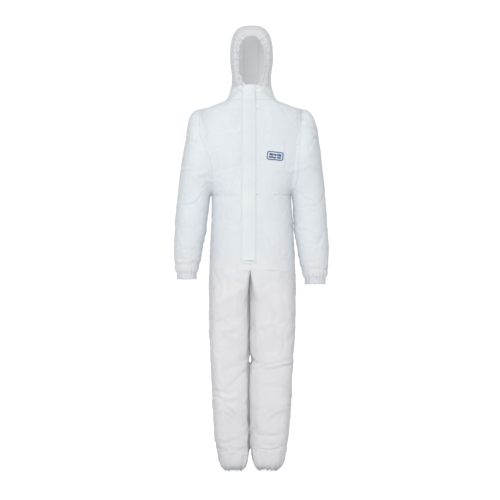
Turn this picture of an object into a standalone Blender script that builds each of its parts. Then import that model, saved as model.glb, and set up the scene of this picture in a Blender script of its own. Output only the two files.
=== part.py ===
"""Hooded one-piece protective coverall, standing as if worn, in metres.

The front faces -Y and the wearer's left is +X. Every fabric panel is a sheet
laid through a grid of points and thickened inwards. Zip parts are built in
the zip's own frame, which follows the straight front edge.
"""

import math

import bmesh
import bpy
import numpy as np
from mathutils import Matrix, Vector

# Fabric and seams
CLOTH = 0.0015
BAND = 0.0025
SEAM = 0.0006

# Heights
SUIT_TOP = 1.776
CHIN = 1.533
NECK = 1.4755
SHOULDER = 1.438
ARMPIT = 1.100
ELBOW = 1.020
CROTCH = 0.800
KNEE = 0.460
ANKLE = 0.0215

# Front edge, a straight tilted line that carries the zip
ZIP_LOW = 0.830
ZIP_HIGH = 1.526
FRONT_LOW = -0.1200
FRONT_SLOPE = 0.0228
ZIP_HALF_SLIT = 0.0065

# Slider and pull tab, in the zip's frame
SLIDER_MIDDLE = 0.0125
SLIDER_HALF = 0.0058
TAB_AXIS_Y = -0.0024
TAB_AXIS_UP = 0.0016

# Torso: height, half width, y of the back
TORSO = (
    (0.800, 0.1735, 0.118),
    (0.880, 0.1710, 0.130),
    (0.970, 0.1660, 0.120),
    (1.070, 0.1600, 0.104),
    (1.100, 0.1580, 0.106),
    (1.300, 0.2000, 0.130),
    (1.438, 0.2020, 0.112),
    (1.4755, 0.1040, 0.090),
)
TORSO_POWER = 2.4
ARMHOLE_X_LOW = 0.158
ARMHOLE_X_HIGH = 0.202
ARMHOLE_DEPTH = 0.075

# Hood below its widest level: height, half width, y of the front, y of the back
HOOD = (
    (1.4755, 0.1040, -0.1053, 0.090),
    (1.512, 0.0870, -0.1044, 0.098),
    (1.544, 0.0780, -0.1037, 0.106),
    (1.576, 0.0775, -0.1033, 0.114),
    (1.608, 0.0820, -0.1030, 0.120),
    (1.645, 0.0860, -0.1030, 0.124),
)
HOOD_WIDEST = 1.645
DOME_POWER = 2.8
HOOD_STRIP = 0.030
COLLAR_BACK = 1.482
FACE_HIGH = 1.730
FACE_WIDEST = 1.636
FACE_HALF = 0.054
FACE_HALF_LOW = 0.016

# Sleeve: outer x and z, inner x and z, half depth
UPPER_SLEEVE = (
    (0.202, 1.438, 0.158, 1.100, 0.0750),
    (0.224, 1.434, 0.1600, 1.0985, 0.0755),
    (0.247, 1.412, 0.1615, 1.0965, 0.0760),
    (0.2595, 1.378, 0.1625, 1.0940, 0.0760),
    (0.269, 1.325, 0.1635, 1.0900, 0.0755),
    (0.280, 1.260, 0.1650, 1.0830, 0.0740),
    (0.289, 1.180, 0.1665, 1.0700, 0.0720),
    (0.296, 1.100, 0.1685, 1.0480, 0.0700),
    (0.302, 1.0207, 0.1705, 1.0207, 0.0690),
)
# Share of the way from the elbow to the cuff, outer x, inner x, half depth
LOWER_SLEEVE = (
    (0.00, 0.3020, 0.1705, 0.0690),
    (0.25, 0.3050, 0.1735, 0.0670),
    (0.50, 0.3090, 0.1840, 0.0620),
    (0.72, 0.3080, 0.1930, 0.0560),
    (0.90, 0.3040, 0.2060, 0.0490),
    (1.00, 0.2980, 0.2130, 0.0450),
)
CUFF_END = {"left": 0.745, "right": 0.765}
CUFF_LENGTH = 0.023
CUFF_OUTER = 0.2965
CUFF_INNER = 0.2150
CUFF_HALF_DEPTH = 0.0435

# Leg: height, outer x, inner x, y of the front, y of the back
LEG = (
    (0.7985, 0.1735, 0.0035, -0.1207, 0.1180),
    (0.750, 0.1750, 0.0035, -0.1180, 0.1180),
    (0.660, 0.1745, 0.0035, -0.1120, 0.1100),
    (0.550, 0.1720, 0.0035, -0.1030, 0.0980),
    (0.460, 0.1660, 0.0040, -0.0960, 0.0900),
    (0.390, 0.1620, 0.0045, -0.0920, 0.0870),
    (0.330, 0.1600, 0.0040, -0.0900, 0.0850),
    (0.260, 0.1580, 0.0035, -0.0890, 0.0840),
    (0.200, 0.1540, 0.0035, -0.0880, 0.0830),
    (0.136, 0.1480, 0.0035, -0.0860, 0.0810),
    (0.072, 0.1370, 0.0045, -0.0820, 0.0780),
    (0.040, 0.1320, 0.0070, -0.0780, 0.0750),
    (0.0215, 0.1130, 0.0240, -0.0520, 0.0500),
)
LEG_ROUND_BELOW = 0.66
THIGH_ROWS = (0.7985, 0.750, 0.705, 0.660, 0.605, 0.550, 0.505, KNEE + 0.0010)
SHIN_ROWS = (KNEE - 0.0004, 0.390, 0.330, 0.260, 0.200, 0.136, 0.072, 0.040, 0.030, ANKLE)
ANKLE_CENTRE = 0.068
ANKLE_HALF_WIDTH = 0.0400
ANKLE_HALF_DEPTH = 0.0450

# Flap, in the zip's frame: x of the free edge, x of the stitched edge, bulge over the zip
FLAP_FREE = -0.035
FLAP_FREE_TOP = -0.019
FLAP_SEWN = 0.0232
FLAP_LOW = 0.8385
FLAP_HIGH = 1.540
FLAP_BULGE = 0.0094
FLAP_WALL = 0.0012

RING = 16
COLLECTION = "chemical_protective_suit"


# ---------------------------------------------------------------- scene and materials


def clear_scene():
    for obj in list(bpy.data.objects):
        bpy.data.objects.remove(obj, do_unlink=True)


def collection(name):
    made = bpy.data.collections.new(name)
    bpy.context.scene.collection.children.link(made)
    return made


def material(name, colour, roughness, metallic=0.0):
    made = bpy.data.materials.new(name)
    made.use_nodes = True
    shader = made.node_tree.nodes["Principled BSDF"]
    shader.inputs["Base Color"].default_value = (*colour, 1.0)
    shader.inputs["Roughness"].default_value = roughness
    shader.inputs["Metallic"].default_value = metallic
    return made


def fabric_material(name):
    return material(name, (0.80, 0.83, 0.86), 0.78)


def elastic_material(name):
    return material(name, (0.74, 0.77, 0.80), 0.85)


def tape_material(name):
    return material(name, (0.86, 0.87, 0.88), 0.80)


def coil_material(name):
    return material(name, (0.90, 0.90, 0.90), 0.42)


def metal_material(name):
    return material(name, (0.62, 0.63, 0.65), 0.32, 1.0)


def badge_material(name):
    return material(name, (0.07, 0.14, 0.30), 0.55)


# ---------------------------------------------------------------- bodies


def add_empty(name, place, parent, home):
    """An empty on a joint's axis. Places are given in the world."""
    made = bpy.data.objects.new(name, None)
    made.empty_display_size = 0.03
    home.objects.link(made)
    if parent is not None:
        made.parent = parent
        made.location = Vector(place) - world_place(parent)
    else:
        made.location = place
    made["place"] = Vector(place)
    return made


def world_place(empty):
    return Vector(empty["place"])


def add_mesh(name, points, faces, body, slot, home):
    """A mesh whose points are given in the world and kept relative to its body's pivot."""
    pivot = world_place(body)
    mesh = bpy.data.meshes.new(name)
    mesh.from_pydata([tuple(Vector(p) - pivot) for p in points], [], faces)
    mesh.update()
    made = bpy.data.objects.new(name, mesh)
    mesh.materials.append(slot)
    home.objects.link(made)
    made.parent = body
    return made


# ---------------------------------------------------------------- sheets


def inset(grid, gap, sides, wrap=False):
    """Pulls the named edges of a grid of points in towards their neighbours."""
    grid = grid.copy()
    first = {"low": (0, 1), "high": (-1, -2)}
    for side, (edge, near) in first.items():
        if side in sides:
            step = grid[near] - grid[edge]
            grid[edge] += step / np.linalg.norm(step, axis=1, keepdims=True) * gap
    if wrap:
        return grid
    across = {"start": (0, 1), "end": (-1, -2)}
    for side, (edge, near) in across.items():
        if side in sides:
            step = grid[:, near] - grid[:, edge]
            grid[:, edge] += step / np.linalg.norm(step, axis=1, keepdims=True) * gap
    return grid


def grid_faces(rows, columns, wrap):
    faces = []
    for i in range(rows - 1):
        for j in range(columns if wrap else columns - 1):
            k = (j + 1) % columns
            faces.append((i * columns + j, i * columns + k, (i + 1) * columns + k, (i + 1) * columns + j))
    return faces


def faces_out(points, faces, inside):
    """The faces, turned round if most of them face the point inside."""
    total = 0.0
    for face in faces:
        corner = points[list(face)]
        normal = np.cross(corner[2] - corner[0], corner[3] - corner[1])
        total += float(np.dot(normal, corner.mean(axis=0) - inside))
    return faces if total > 0 else [tuple(reversed(face)) for face in faces]


def sheet(name, grid, body, slot, home, thickness=CLOTH, wrap=False, inside=None):
    """A panel through the grid, thickened towards its inner side."""
    rows, columns, _ = grid.shape
    points = grid.reshape(-1, 3)
    centre = points.mean(axis=0) if inside is None else np.array(inside)
    faces = faces_out(points, grid_faces(rows, columns, wrap), centre)
    made = add_mesh(name, points, faces, body, slot, home)
    solid = made.modifiers.new("thickness", "SOLIDIFY")
    solid.thickness = thickness
    solid.offset = -1.0
    solid.use_even_offset = True
    return made


# ---------------------------------------------------------------- body shape


def front_y(z):
    return FRONT_LOW + (z - ZIP_LOW) * FRONT_SLOPE


def table(rows, z, column):
    return float(np.interp(z, [row[0] for row in rows], [row[column] for row in rows]))


def oval_point(z, angle, rx, front, back, power):
    """A point of a rounded oval. The angle runs from the front over +X to the back."""
    sine, cosine = math.sin(angle), math.cos(angle)
    x = rx * math.copysign(abs(sine) ** (2 / power), sine)
    middle, half = (front + back) / 2, (back - front) / 2
    y = middle - half * math.copysign(abs(cosine) ** (2 / power), cosine)
    return np.array((x, y, z))


def angle_at_x(x, rx, power):
    return math.asin(min(1.0, (x / rx) ** (power / 2)))


def armhole(z):
    """Half depth and x of the armhole edge at this height, or None outside it."""
    if not ARMPIT < z < SHOULDER:
        return None
    middle, half = (ARMPIT + SHOULDER) / 2, (SHOULDER - ARMPIT) / 2
    depth = ARMHOLE_DEPTH * math.sqrt(max(0.0, 1 - ((z - middle) / half) ** 2))
    share = (z - ARMPIT) / (SHOULDER - ARMPIT)
    return depth, ARMHOLE_X_LOW + share * (ARMHOLE_X_HIGH - ARMHOLE_X_LOW)


def torso_ring(z):
    """Half width, y of the front, y of the back and the angle of the side edge."""
    front, back = front_y(z), table(TORSO, z, 2)
    hole = armhole(z)
    if hole is None:
        return table(TORSO, z, 1), front, back, math.pi / 2
    depth, edge_x = hole
    edge = math.acos((depth / ((back - front) / 2)) ** (TORSO_POWER / 2))
    return edge_x / math.sin(edge) ** (2 / TORSO_POWER), front, back, edge


def torso_point(z, angle):
    rx, front, back, _ = torso_ring(z)
    return oval_point(z, angle, rx, front, back, TORSO_POWER)


def torso_y(x, z):
    """The front surface's y at a place on the chest."""
    rx, _, _, _ = torso_ring(z)
    return torso_point(z, angle_at_x(abs(x), rx, TORSO_POWER))[1]


def hood_ring(z):
    if z <= HOOD_WIDEST:
        return tuple(table(HOOD, z, column) for column in (1, 2, 3))
    share = min(1.0, (z - HOOD_WIDEST) / (SUIT_TOP - HOOD_WIDEST))
    scale = (1 - share**DOME_POWER) ** (1 / DOME_POWER)
    _, rx, front, back = HOOD[-1]
    middle, half = (front + back) / 2, (back - front) / 2
    return rx * scale, middle - half * scale, middle + half * scale


def hood_point(z, angle):
    rx, front, back = hood_ring(z)
    return oval_point(z, angle, rx, front, back, TORSO_POWER)


def collar_top(angle):
    """Where the flat cut between collar and hood crosses this angle, as a height."""
    z = NECK
    for _ in range(12):
        y = hood_point(z, angle)[1]
        front, back = front_y(CHIN), table(HOOD, COLLAR_BACK, 3)
        z = COLLAR_BACK + (CHIN - COLLAR_BACK) * (back - y) / (back - front)
    return z


def side_of(grid, side):
    """The grid made on +X, mirrored to -X for the wearer's right."""
    if side == "left":
        return grid
    return grid * np.array((-1.0, 1.0, 1.0))


# ---------------------------------------------------------------- torso pieces


def torso_heights():
    middle, half = (ARMPIT + SHOULDER) / 2, (SHOULDER - ARMPIT) / 2
    step = 2 * math.pi / RING
    hole = [middle - half * math.cos(k * step) for k in range(RING // 2 + 1)]
    low = [CROTCH, 0.826, 0.836, 0.880, 0.930, 0.970, 1.020, 1.070]
    return low + hole + [1.452, 1.465, NECK]


def half_slit(z):
    """Half the gap between the two fronts: the zip's slit, closed by a seam below it."""
    return float(np.interp(z, (0.826, 0.836), (SEAM, ZIP_HALF_SLIT)))


def front_panel(side, body, slot, home):
    rows = []
    for z in torso_heights():
        rx, _, _, edge = torso_ring(z)
        start = angle_at_x(half_slit(z), rx, TORSO_POWER)
        rows.append([torso_point(z, a) for a in np.linspace(start, edge, 6)])
    grid = inset(np.array(rows), SEAM, ("end", "high"))
    sheet(f"front_panel_{side}", side_of(grid, side), body, slot, home, inside=(0, 0, 1.1))


def back_panel(side, body, slot, home):
    rows = []
    for z in torso_heights():
        rx, _, _, edge = torso_ring(z)
        end = math.pi - angle_at_x(SEAM, rx, TORSO_POWER)
        rows.append([torso_point(z, a) for a in np.linspace(math.pi - edge, end, 6)])
    grid = inset(np.array(rows), SEAM, ("start", "high"))
    sheet(f"back_panel_{side}", side_of(grid, side), body, slot, home, inside=(0, 0, 1.1))


def collar(side, body, slot, home):
    """From the zip round to the centre back, between the neck seam and the fold."""
    rx = HOOD[0][1]
    start = angle_at_x(ZIP_HALF_SLIT, rx, TORSO_POWER)
    end = math.pi - angle_at_x(SEAM, rx, TORSO_POWER)
    angles = np.concatenate((np.linspace(start, math.pi / 2, 6), np.linspace(math.pi / 2, end, 6)[1:]))
    rows = []
    for share in np.linspace(0, 1, 4):
        rows.append([hood_point(NECK + share * (collar_top(a) - NECK), a) for a in angles])
    grid = inset(np.array(rows), SEAM, ("low", "high"))
    grid[:, 0, 0] = ZIP_HALF_SLIT
    grid[:, -1, 0] = SEAM
    sheet(f"collar_{side}", side_of(grid, side), body, slot, home, inside=(0, 0, 1.5))


def crotch_gusset(body, slot, home):
    rows = []
    for y in np.linspace(-0.1175, 0.1145, 8):
        sag = 0.002 * (1 - (y / 0.12) ** 2)
        rows.append([(x, y, 0.8040 - sag - 14.0 * x * x + 0.0008) for x in np.linspace(-0.016, 0.016, 5)])
    sheet("crotch_gusset", np.array(rows), body, slot, home, thickness=0.0014, inside=(0, 0, -2.0))


def waist_elastic(body, slot, home):
    """Flat elastic inside the back, from side to side."""
    angles = np.linspace(math.radians(102), math.radians(258), 19)
    rows = []
    for z in (1.0735, 1.0860, 1.0965):
        rx, front, back, _ = torso_ring(z)
        depth = 0.0045
        rows.append([oval_point(z, a, rx - depth, front + depth, back - depth, TORSO_POWER) for a in angles])
    sheet("waist_elastic", np.array(rows), body, slot, home, thickness=0.001, inside=(0, 0, 1.09))


def chest_badge(body, slot, home):
    """Small label that follows the chest, tipped down towards the wearer's side."""
    tilt = math.radians(-5.5)
    rows = []
    for v in np.linspace(-0.0155, 0.0155, 3):
        row = []
        for u in np.linspace(-0.0330, 0.0330, 6):
            x = 0.0985 + u * math.cos(tilt) - v * math.sin(tilt)
            z = 1.2575 + u * math.sin(tilt) + v * math.cos(tilt)
            row.append((x, torso_y(x, z) - 0.0018, z))
        rows.append(row)
    sheet("chest_badge", np.array(rows), body, slot, home, thickness=0.0008, inside=(0.08, 0, 1.2575))


# ---------------------------------------------------------------- zip and flap


def zip_frame():
    """Turns the zip's own frame (x across, y inwards, z along) into the world."""
    start = Matrix.Translation((0.0, front_y(ZIP_LOW), ZIP_LOW))
    return start @ Matrix.Rotation(-math.atan(FRONT_SLOPE), 4, "X")


def zip_length():
    return (ZIP_HIGH - ZIP_LOW) / math.cos(math.atan(FRONT_SLOPE))


def strip_grid(x_low, x_high, s_low, s_high, y, columns, rows):
    frame = zip_frame()
    grid = []
    for s in np.linspace(s_low, s_high, rows):
        grid.append([tuple(frame @ Vector((x, y, s))) for x in np.linspace(x_low, x_high, columns)])
    return np.array(grid)


def extruded(name, outline, x_low, x_high, body, slot, home):
    """A block from an outline of (y, s) pairs in the zip's frame, between two x values."""
    frame = zip_frame()
    count = len(outline)
    points = [tuple(frame @ Vector((x, y, s))) for x in (x_low, x_high) for y, s in outline]
    faces = [tuple(range(count)), tuple(reversed(range(count, 2 * count)))]
    faces += [(i, count + i, count + (i + 1) % count, (i + 1) % count) for i in range(count)]
    return closed_mesh(name, points, faces, body, slot, home)


def along(name, outline, s_low, s_high, body, slot, home):
    """A block from an outline of (x, y) pairs in the zip's frame, between two lengths."""
    frame = zip_frame()
    count = len(outline)
    points = [tuple(frame @ Vector((x, y, s))) for s in (s_low, s_high) for x, y in outline]
    faces = [tuple(range(count)), tuple(reversed(range(count, 2 * count)))]
    faces += [(i, count + i, count + (i + 1) % count, (i + 1) % count) for i in range(count)]
    return closed_mesh(name, points, faces, body, slot, home)


def closed_mesh(name, points, faces, body, slot, home):
    made = add_mesh(name, points, faces, body, slot, home)
    work = bmesh.new()
    work.from_mesh(made.data)
    bmesh.ops.recalc_face_normals(work, faces=work.faces)
    work.to_mesh(made.data)
    work.free()
    return made


def box_outline(a_low, a_high, b_low, b_high):
    return [(a_low, b_low), (a_high, b_low), (a_high, b_high), (a_low, b_high)]


def add_bevel(made, width, segments=2):
    bevel = made.modifiers.new("soft edges", "BEVEL")
    bevel.width = width
    bevel.segments = segments
    bevel.limit_method = "ANGLE"
    bevel.angle_limit = math.radians(40)


def zip_tape(side, body, slot, home):
    grid = strip_grid(0.0009, 0.0125, 0.0, zip_length(), 0.0032, 2, 2)
    name = f"zip_tape_{side}"
    sheet(name, side_of(grid, side), body, slot, home, thickness=0.0005, inside=(0.007, 1.0, 1.2))


def zip_coil(side, body, slot, home):
    """One side's moulded coil, a bar with a rounded face, from stop to stop."""
    outline = [(0.0008, 0.0004), (0.0012, 0.0001), (0.0022, 0.0001), (0.0026, 0.0004)]
    outline += [(0.0026, 0.0022), (0.0022, 0.0026), (0.0012, 0.0026), (0.0008, 0.0022)]
    sign = 1 if side == "left" else -1
    outline = [(sign * x, y) for x, y in outline]
    along(f"zip_coil_{side}", outline, 0.0055, zip_length() - 0.006, body, slot, home)


def zip_stops(body, slot, home):
    high = zip_length()
    outline = box_outline(-0.0032, 0.0032, -0.0003, 0.0027)
    low = along("zip_bottom_stop", outline, 0.0008, 0.0050, body, slot, home)
    add_bevel(low, 0.0004)
    for side, sign in (("left", 1), ("right", -1)):
        outline = box_outline(sign * 0.0008, sign * 0.0030, -0.0002, 0.0027)
        made = along(f"zip_top_stop_{side}", outline, high - 0.0055, high - 0.0025, body, slot, home)
        add_bevel(made, 0.0004)


def slider_top():
    return zip_length() - SLIDER_MIDDLE


def zip_slider(body, slot, home, cutters):
    """Front plate, back plate, side flanges and bridge in one section, with a bail in front."""
    half = [(0.0, -0.0015), (0.0046, -0.0015), (0.0046, 0.0022), (0.0031, 0.0022), (0.0031, -0.0003)]
    half += [(0.0005, -0.0003), (0.0005, 0.0041), (0.0042, 0.0041), (0.0042, 0.0051), (0.0, 0.0051)]
    outline = half + [(-x, y) for x, y in reversed(half[1:-1])]
    middle = slider_top()
    made = along("zip_slider", outline, middle - SLIDER_HALF, middle + SLIDER_HALF, body, slot, home)
    arch = [(-0.0012, -0.0034), (-0.0034, -0.0034), (-0.0043, -0.0024), (-0.0043, 0.0034)]
    arch += [(-0.0034, 0.0042), (-0.0012, 0.0042), (-0.0012, 0.0031), (-0.0030, 0.0031)]
    arch += [(-0.0033, 0.0028), (-0.0033, -0.0020), (-0.0030, -0.0023), (-0.0012, -0.0023)]
    arch = [(y, middle + s) for y, s in arch]
    bail = extruded("slider_bail", arch, -0.0010, 0.0010, body, slot, cutters)
    bail.hide_render = True
    bail.display_type = "WIRE"
    joined = made.modifiers.new("bail", "BOOLEAN")
    joined.operation = "UNION"
    joined.solver = "EXACT"
    joined.object = bail
    add_bevel(made, 0.00025, 1)


def zip_pull_tab(body, slot, home):
    """A flat tab with a slot near its top, hanging on the bar above the slot."""
    frame = zip_frame()
    axis = slider_top() + TAB_AXIS_UP
    outer = []
    for x, s in ((-0.0024, 0.0006), (0.0024, 0.0006), (0.0028, -0.0010), (0.0028, -0.0060)):
        outer.append((x, s))
    for k in range(7):
        turn = math.pi * k / 6
        outer.append((0.0032 * math.cos(turn), -0.0142 - 0.0032 * math.sin(turn)))
    outer += [(-0.0028, -0.0060), (-0.0028, -0.0010)]
    inner = [(-0.0015, -0.0006), (0.0015, -0.0006), (0.0015, -0.0054), (-0.0015, -0.0054)]
    work = bmesh.new()
    for y in (TAB_AXIS_Y - 0.0005, TAB_AXIS_Y + 0.0005):
        loops = []
        for loop in (outer, inner):
            verts = [work.verts.new(frame @ Vector((x, y, axis + s))) for x, s in loop]
            loops += [work.edges.new((verts[i - 1], verts[i])) for i in range(len(verts))]
        bmesh.ops.triangle_fill(work, use_beauty=True, edges=loops)
    work.verts.ensure_lookup_table()
    count = len(outer) + len(inner)
    for first, length in ((0, len(outer)), (len(outer), len(inner))):
        for i in range(length):
            a, b = first + i, first + (i + 1) % length
            work.faces.new([work.verts[k] for k in (a, b, count + b, count + a)])
    bmesh.ops.recalc_face_normals(work, faces=work.faces)
    points = [vertex.co.copy() for vertex in work.verts]
    faces = [tuple(vertex.index for vertex in face.verts) for face in work.faces]
    work.free()
    add_mesh("zip_pull_tab", points, faces, body, slot, home)


def storm_flap(body, slot, home):
    """Fabric strip that bulges over the zip, sewn along its edge on the wearer's left."""
    frame = zip_frame()
    base = ZIP_LOW
    tilt = math.cos(math.atan(FRONT_SLOPE))
    rows = []
    for z in [FLAP_LOW, *np.linspace(0.95, 1.40, 4), 1.500, 1.520, 1.532, FLAP_HIGH]:
        levels = (1.500, 1.520, 1.532, FLAP_HIGH)
        free = float(np.interp(z, levels, (FLAP_FREE, -0.033, -0.028, FLAP_FREE_TOP)))
        row = []
        for x in np.linspace(free, FLAP_SEWN, 9):
            share = (x - free) / (FLAP_SEWN - free)
            y = -0.0016 - FLAP_BULGE * math.sin(math.pi * share) ** 0.8
            row.append(tuple(frame @ Vector((x, y, (z - base) / tilt))))
        rows.append(row)
    sheet("storm_flap", np.array(rows), body, slot, home, thickness=FLAP_WALL, inside=(-0.005, 0.5, 1.2))


def flap_end_patch(body, slot, home):
    outline = box_outline(FLAP_FREE, FLAP_SEWN, -0.0015, -0.0004)
    made = along("flap_end_patch", outline, 0.8250 - ZIP_LOW, 0.8375 - ZIP_LOW, body, slot, home)
    add_bevel(made, 0.0003, 1)


# ---------------------------------------------------------------- hood


def face_half_width(z):
    """Half width of the face opening, an egg that narrows to the chin."""
    if z >= FACE_WIDEST:
        share = min(1.0, (z - FACE_WIDEST) / (FACE_HIGH - FACE_WIDEST))
        return FACE_HALF * (1 - share**2.3) ** (1 / 2.3)
    share = (FACE_WIDEST - z) / (FACE_WIDEST - CHIN)
    return FACE_HALF_LOW + (FACE_HALF - FACE_HALF_LOW) * (1 - share**2.1) ** (1 / 1.9)


def strip_top(x):
    """Height at which the dome's half width falls to x."""
    scale = min(1.0, abs(x) / HOOD[-1][1])
    return HOOD_WIDEST + (SUIT_TOP - HOOD_WIDEST) * (1 - scale**DOME_POWER) ** (1 / DOME_POWER)


def hood_side_heights():
    top = strip_top(HOOD_STRIP + 0.006)
    low = list(np.linspace(CHIN, FACE_WIDEST, 6)[:-1])
    high = [FACE_WIDEST + (top - FACE_WIDEST) * math.sin(a) for a in np.linspace(0, math.pi / 2, 8)]
    return low + high


def seam_point(z):
    """On the seam with the centre strip, at the back of the hood."""
    rx = hood_ring(z)[0]
    return hood_point(z, math.pi - angle_at_x(min(HOOD_STRIP, rx * 0.98), rx, TORSO_POWER))


def crown_row(row):
    """The same row, moved onto the seam that runs over the crown."""
    _, rx, front, back = HOOD[-1]
    middle, half = (front + back) / 2, (back - front) / 2
    moved = []
    for point in row:
        reach = (HOOD_STRIP / rx) ** TORSO_POWER + (abs(point[1] - middle) / half) ** TORSO_POWER
        share = reach ** (1 / TORSO_POWER)
        height = (SUIT_TOP - HOOD_WIDEST) * (1 - share**DOME_POWER) ** (1 / DOME_POWER)
        moved.append(np.array((HOOD_STRIP, point[1], HOOD_WIDEST + height)))
    return moved


def hood_side(side, body, slot, home):
    """From the face opening to the seam with the centre strip."""
    heights = hood_side_heights()
    rows = []
    for z in heights:
        rx = hood_ring(z)[0]
        opening = max(HOOD_STRIP if z > 1.70 else 0.0, face_half_width(z) if z < FACE_HIGH else 0.0)
        start = angle_at_x(min(opening, rx * 0.98), rx, TORSO_POWER)
        end = math.pi - angle_at_x(min(HOOD_STRIP, rx * 0.98), rx, TORSO_POWER)
        share = (z - CHIN) / (heights[-1] - CHIN)
        row = []
        for a in np.linspace(start, end, 10):
            low = collar_top(a)
            row.append(hood_point(low + share * (heights[-1] - low), a))
        row[-1] = seam_point(row[-1][2])
        rows.append(row)
    rows[-1] = crown_row(rows[-1])
    grid = inset(np.array(rows), SEAM, ("low", "high", "start", "end"))
    sheet(f"hood_side_{side}", side_of(grid, side), body, slot, home, inside=(0, 0.01, 1.62))


def strip_point(x, share):
    """A point of the centre strip: share runs from the forehead over the crown to the nape."""
    top = strip_top(x)
    over = 0.72
    if share <= over:
        low = math.asin((FACE_HIGH - HOOD_WIDEST) / (top - HOOD_WIDEST))
        turn = low + (math.pi - low) * share / over
        z = HOOD_WIDEST + (top - HOOD_WIDEST) * math.sin(turn)
        front = turn < math.pi / 2
    else:
        end = collar_top(math.pi)
        z = HOOD_WIDEST + (end - HOOD_WIDEST) * (share - over) / (1 - over)
        front = False
    rx = hood_ring(z)[0]
    angle = angle_at_x(abs(x), max(rx, abs(x)), TORSO_POWER)
    point = hood_point(z, angle if front else math.pi - angle)
    return np.array((x, point[1], point[2]))


def hood_centre_panel(body, slot, home):
    rows = []
    for share in np.linspace(0, 1, 19):
        rows.append([strip_point(x, share) for x in np.linspace(-HOOD_STRIP, HOOD_STRIP, 5)])
    grid = inset(np.array(rows), SEAM, ("low", "high", "start", "end"))
    sheet("hood_centre_panel", grid, body, slot, home, inside=(0, 0.01, 1.62))


def face_elastic(body, slot, home):
    """A round casing just inside the opening's edge, open at the chin."""
    path = []
    for z in np.linspace(CHIN + 0.006, 1.690, 10):
        path.append((face_half_width(z), z))
    for turn in np.linspace(math.radians(32), math.radians(90), 7):
        z = FACE_WIDEST + (FACE_HIGH - FACE_WIDEST) * math.sin(turn)
        if z > 1.692:
            path.append((face_half_width(z), z))
    whole = [(x, z) for x, z in path] + [(-x, z) for x, z in reversed(path[:-1])]
    middle_z = 1.635
    points = []
    for x, z in whole:
        rx, front, back = hood_ring(z)
        angle = angle_at_x(min(abs(x), rx), rx, TORSO_POWER)
        y = oval_point(z, angle, rx, front, back, TORSO_POWER)[1]
        inward = Vector((-x, middle_z - z))
        inward.normalize()
        points.append((x + inward.x * 0.0066, y + 0.0034, z + inward.y * 0.0066))
    curve = bpy.data.curves.new("face_elastic", "CURVE")
    curve.dimensions = "3D"
    curve.bevel_depth = 0.0030
    curve.bevel_resolution = 1
    curve.use_fill_caps = True
    line = curve.splines.new("POLY")
    line.points.add(len(points) - 1)
    pivot = world_place(body)
    for point, place in zip(line.points, points):
        point.co = (*(Vector(place) - pivot), 1.0)
    curve.materials.append(slot)
    made = bpy.data.objects.new("face_elastic", curve)
    home.objects.link(made)
    made.parent = body


# ---------------------------------------------------------------- sleeves and legs


def sleeve_ring(outer_x, outer_z, inner_x, inner_z, depth, power):
    """Starts at the outer edge and runs over the front to the inner edge and back."""
    centre = np.array(((outer_x + inner_x) / 2, 0.0, (outer_z + inner_z) / 2))
    reach = np.array(((outer_x - inner_x) / 2, 0.0, (outer_z - inner_z) / 2))
    ring = []
    for k in range(RING):
        turn = 2 * math.pi * k / RING
        sine, cosine = math.sin(turn), math.cos(turn)
        along_reach = math.copysign(abs(cosine) ** (2 / power), cosine)
        forward = math.copysign(abs(sine) ** (2 / power), sine)
        ring.append(centre + reach * along_reach + np.array((0.0, -depth * forward, 0.0)))
    return ring


def upper_sleeve(side, body, slot, home):
    rows = []
    last = len(UPPER_SLEEVE) - 1
    for k, (outer_x, outer_z, inner_x, inner_z, depth) in enumerate(UPPER_SLEEVE):
        rows.append(sleeve_ring(outer_x, outer_z, inner_x, inner_z, depth, 2.0 + 0.3 * k / last))
    grid = np.array(rows)
    share = (grid[0, :, 2] - ARMPIT) / (SHOULDER - ARMPIT)
    grid[0, :, 1] += torso_middle(share)
    grid[0] += np.array((0.0011, 0.0, -0.00015))
    grid = side_of(grid, side)
    middle = (0.24 if side == "left" else -0.24, 0.0, 1.2)
    sheet(f"upper_sleeve_{side}", grid, body, slot, home, wrap=True, inside=middle)


def torso_middle(share):
    """The armhole's middle line drifts a little with the torso's own middle."""
    low = (front_y(ARMPIT) + table(TORSO, ARMPIT, 2)) / 2
    high = (front_y(SHOULDER) + table(TORSO, SHOULDER, 2)) / 2
    return low + (high - low) * share


def lower_sleeve(side, body, slot, home):
    top = ELBOW - 0.0007
    end = CUFF_END[side] + CUFF_LENGTH + SEAM
    rows = []
    for share, outer, inner, depth in LOWER_SLEEVE:
        z = top + (end - top) * share
        rows.append(sleeve_ring(outer, z, inner, z, depth, 2.3))
    grid = side_of(np.array(rows), side)
    middle = (0.245 if side == "left" else -0.245, 0.0, 0.88)
    sheet(f"lower_sleeve_{side}", grid, body, slot, home, wrap=True, inside=middle)


def band(name, outside, inside, body, slot, home):
    """A tube with square ends, from its outer and inner rings, each given as (top, end)."""
    rings = np.array([outside[0], outside[1], inside[1], inside[0]])
    count = rings.shape[1]
    faces = grid_faces(4, count, True)
    for j in range(count):
        k = (j + 1) % count
        faces.append((3 * count + j, 3 * count + k, k, j))
    closed_mesh(name, rings.reshape(-1, 3), faces, body, slot, home)


def wrist_elastic(side, body, slot, home):
    outside, inside = [], []
    for z in (CUFF_END[side] + CUFF_LENGTH, CUFF_END[side]):
        outside.append(sleeve_ring(CUFF_OUTER, z, CUFF_INNER, z, CUFF_HALF_DEPTH, 2.2))
        inside.append(sleeve_ring(CUFF_OUTER - BAND, z, CUFF_INNER + BAND, z, CUFF_HALF_DEPTH - BAND, 2.2))
    outside, inside = side_of(np.array(outside), side), side_of(np.array(inside), side)
    band(f"wrist_elastic_{side}", outside, inside, body, slot, home)


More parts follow.
